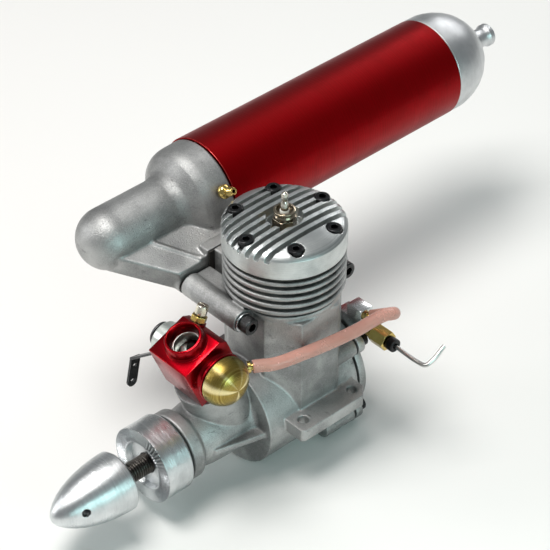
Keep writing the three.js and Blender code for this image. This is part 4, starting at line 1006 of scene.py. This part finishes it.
casting = fettled(combined(duct, muffler_parts, muffler_cuts), 0.42, 3, 0.34)
muffler_skin = metal("muffler_skin", (0.27, 0.272, 0.27), (0.49, 0.49, 0.485), 0.52, bump=1.0, wear=0.5,
                     shade_and_grime=0.45, radius=0.4, smudges=0.9)
fitted("muffler_front_casting", casting, "engine", muffler_skin, "cast_aluminium", "muffler_casting",
       sharp=180)

# ---- Muffler tube ----------------------------------------------------------------------------
# Thin-walled aluminium tube in satin deep-red anodising, with a bright edge where its front end
# was trimmed after anodising.
tube_length = TUBE_REAR - TUBE_FRONT
tube = turned([(19.7, 0), (20.75, 0), (MUFFLER_R, 0.15), (MUFFLER_R, tube_length - 0.15),
               (20.75, tube_length), (19.7, tube_length), (19.7, 0)], on_axis(TUBE_FRONT), REAR, 160)
tube_anodising = metal("satin_red_anodising", (0.24, 0.0, 0.001), (0.34, 0.0, 0.003), 0.42,
                       (on_axis(0), REAR), bump=0.15,
                       worn=(0.8, 0.2, 0.18), wear=0.9, shade_and_grime=0.3, coat=0.05, pitch=2600.0, radius=0.4)
fitted("muffler_expansion_tube", tube, "engine", tube_anodising, "red_anodised_tube", "muffler_tube")

# ---- Muffler end cap -------------------------------------------------------------------------
# Turned aluminium cone that closes the tube's rear end, with a flared stinger for the exhaust.
end_cap = turned([(18.4, 0), (19.4, 0), (19.4, 6.3), (20.6, 6.3), (20.8, 6.6), (20.8, 12.6), (20.4, 15),
                  (19.6, 18),
                  (18.3, 21.2), (16.4, 24.4), (13.8, 27.4), (10.4, 30.2), (7.2, 32.2), (5.2, 33.5),
                  (4.3, 34.6), (4, 36),
                  (4, 39.2), (4.25, 40.6), (4.8, 41.4), (4.8, 43.3), (4.5, 43.7), (3.4, 43.7), (3.2, 43.4),
                  (3.2, 32.6), (11.6, 24.4), (18.4, 11), (18.4, 0)], on_axis(TUBE_REAR - 6), REAR, 128)
cap_aluminium = metal("end_cap_aluminium", (0.44, 0.45, 0.46), (0.72, 0.73, 0.74), 0.36,
                      (on_axis(0), REAR), bump=0.5)
fitted("muffler_rear_cone", end_cap, "engine", cap_aluminium, "machined_aluminium", "muffler_end_cap")

# ---- Pressure nipple and exhaust flange ------------------------------------------------------
# Brass nipple that feeds exhaust pressure to the tank. A fibre gasket, two long black bolts and
# their washers hold the muffler's flange against the exhaust stack.
nipple = turned([(0, 0), (1.5, 0), (1.5, 3.4), (2.2, 3.4), (2.7, 3.9), (2.85, 4.6), (2.7, 5.3), (2.2, 5.9),
                 (1.5, 6.3), (1.5, 7.2), (2.1, 8.2), (2.0, 8.7), (1.4, 10.6), (0.7, 10.6), (0.7, 3), (0, 3)],
                nipple_seat - Vector((1.4, 0, 0.8)), nipple_to, 48)
nipple_brass = metal("nipple_brass", (0.42, 0.29, 0.07), (0.72, 0.55, 0.20), 0.2, (nipple_seat, nipple_to))
fitted("muffler_pressure_nipple", nipple, "engine", nipple_brass, "brass", "pressure_nipple")
flange_seal = combined(block(0.5, 29, 17, (STACK_X - 0.45, 0, STACK_Z + 1)),
                       cut=[block(4, 15, 8.4, (STACK_X, 0, STACK_Z))])
fitted("exhaust_flange_gasket", flange_seal, "engine", gasket_fibre, "gasket", "exhaust_gasket")
bolt_steel = metal("bolt_steel", (0.035, 0.035, 0.036), (0.09, 0.09, 0.092), 0.3, bump=0.25, radius=0.2,
                   worn=(0.45, 0.45, 0.45), wear=0.8)
for end, side in (("front", -1), ("rear", 1)):
    y = side * STACK_BOLT_Y
    ear = STACK_X + 29.6
    bolt = socket_screw((2, 42), (3.4, 4), (ear + 1.2 - 42, y, STACK_Z), RIGHT)
    fitted(f"muffler_cap_screw_{end}", bolt, "engine", bolt_steel, "black_oxide", f"muffler_bolt_{end}")
    fitted(f"muffler_bolt_washer_{end}", ring(4.1, 2.25, 0.7, (ear + 0.25, y, STACK_Z), RIGHT, 48, 0.12),
           "engine", ground_steel, "ground_steel", f"muffler_washer_{end}")
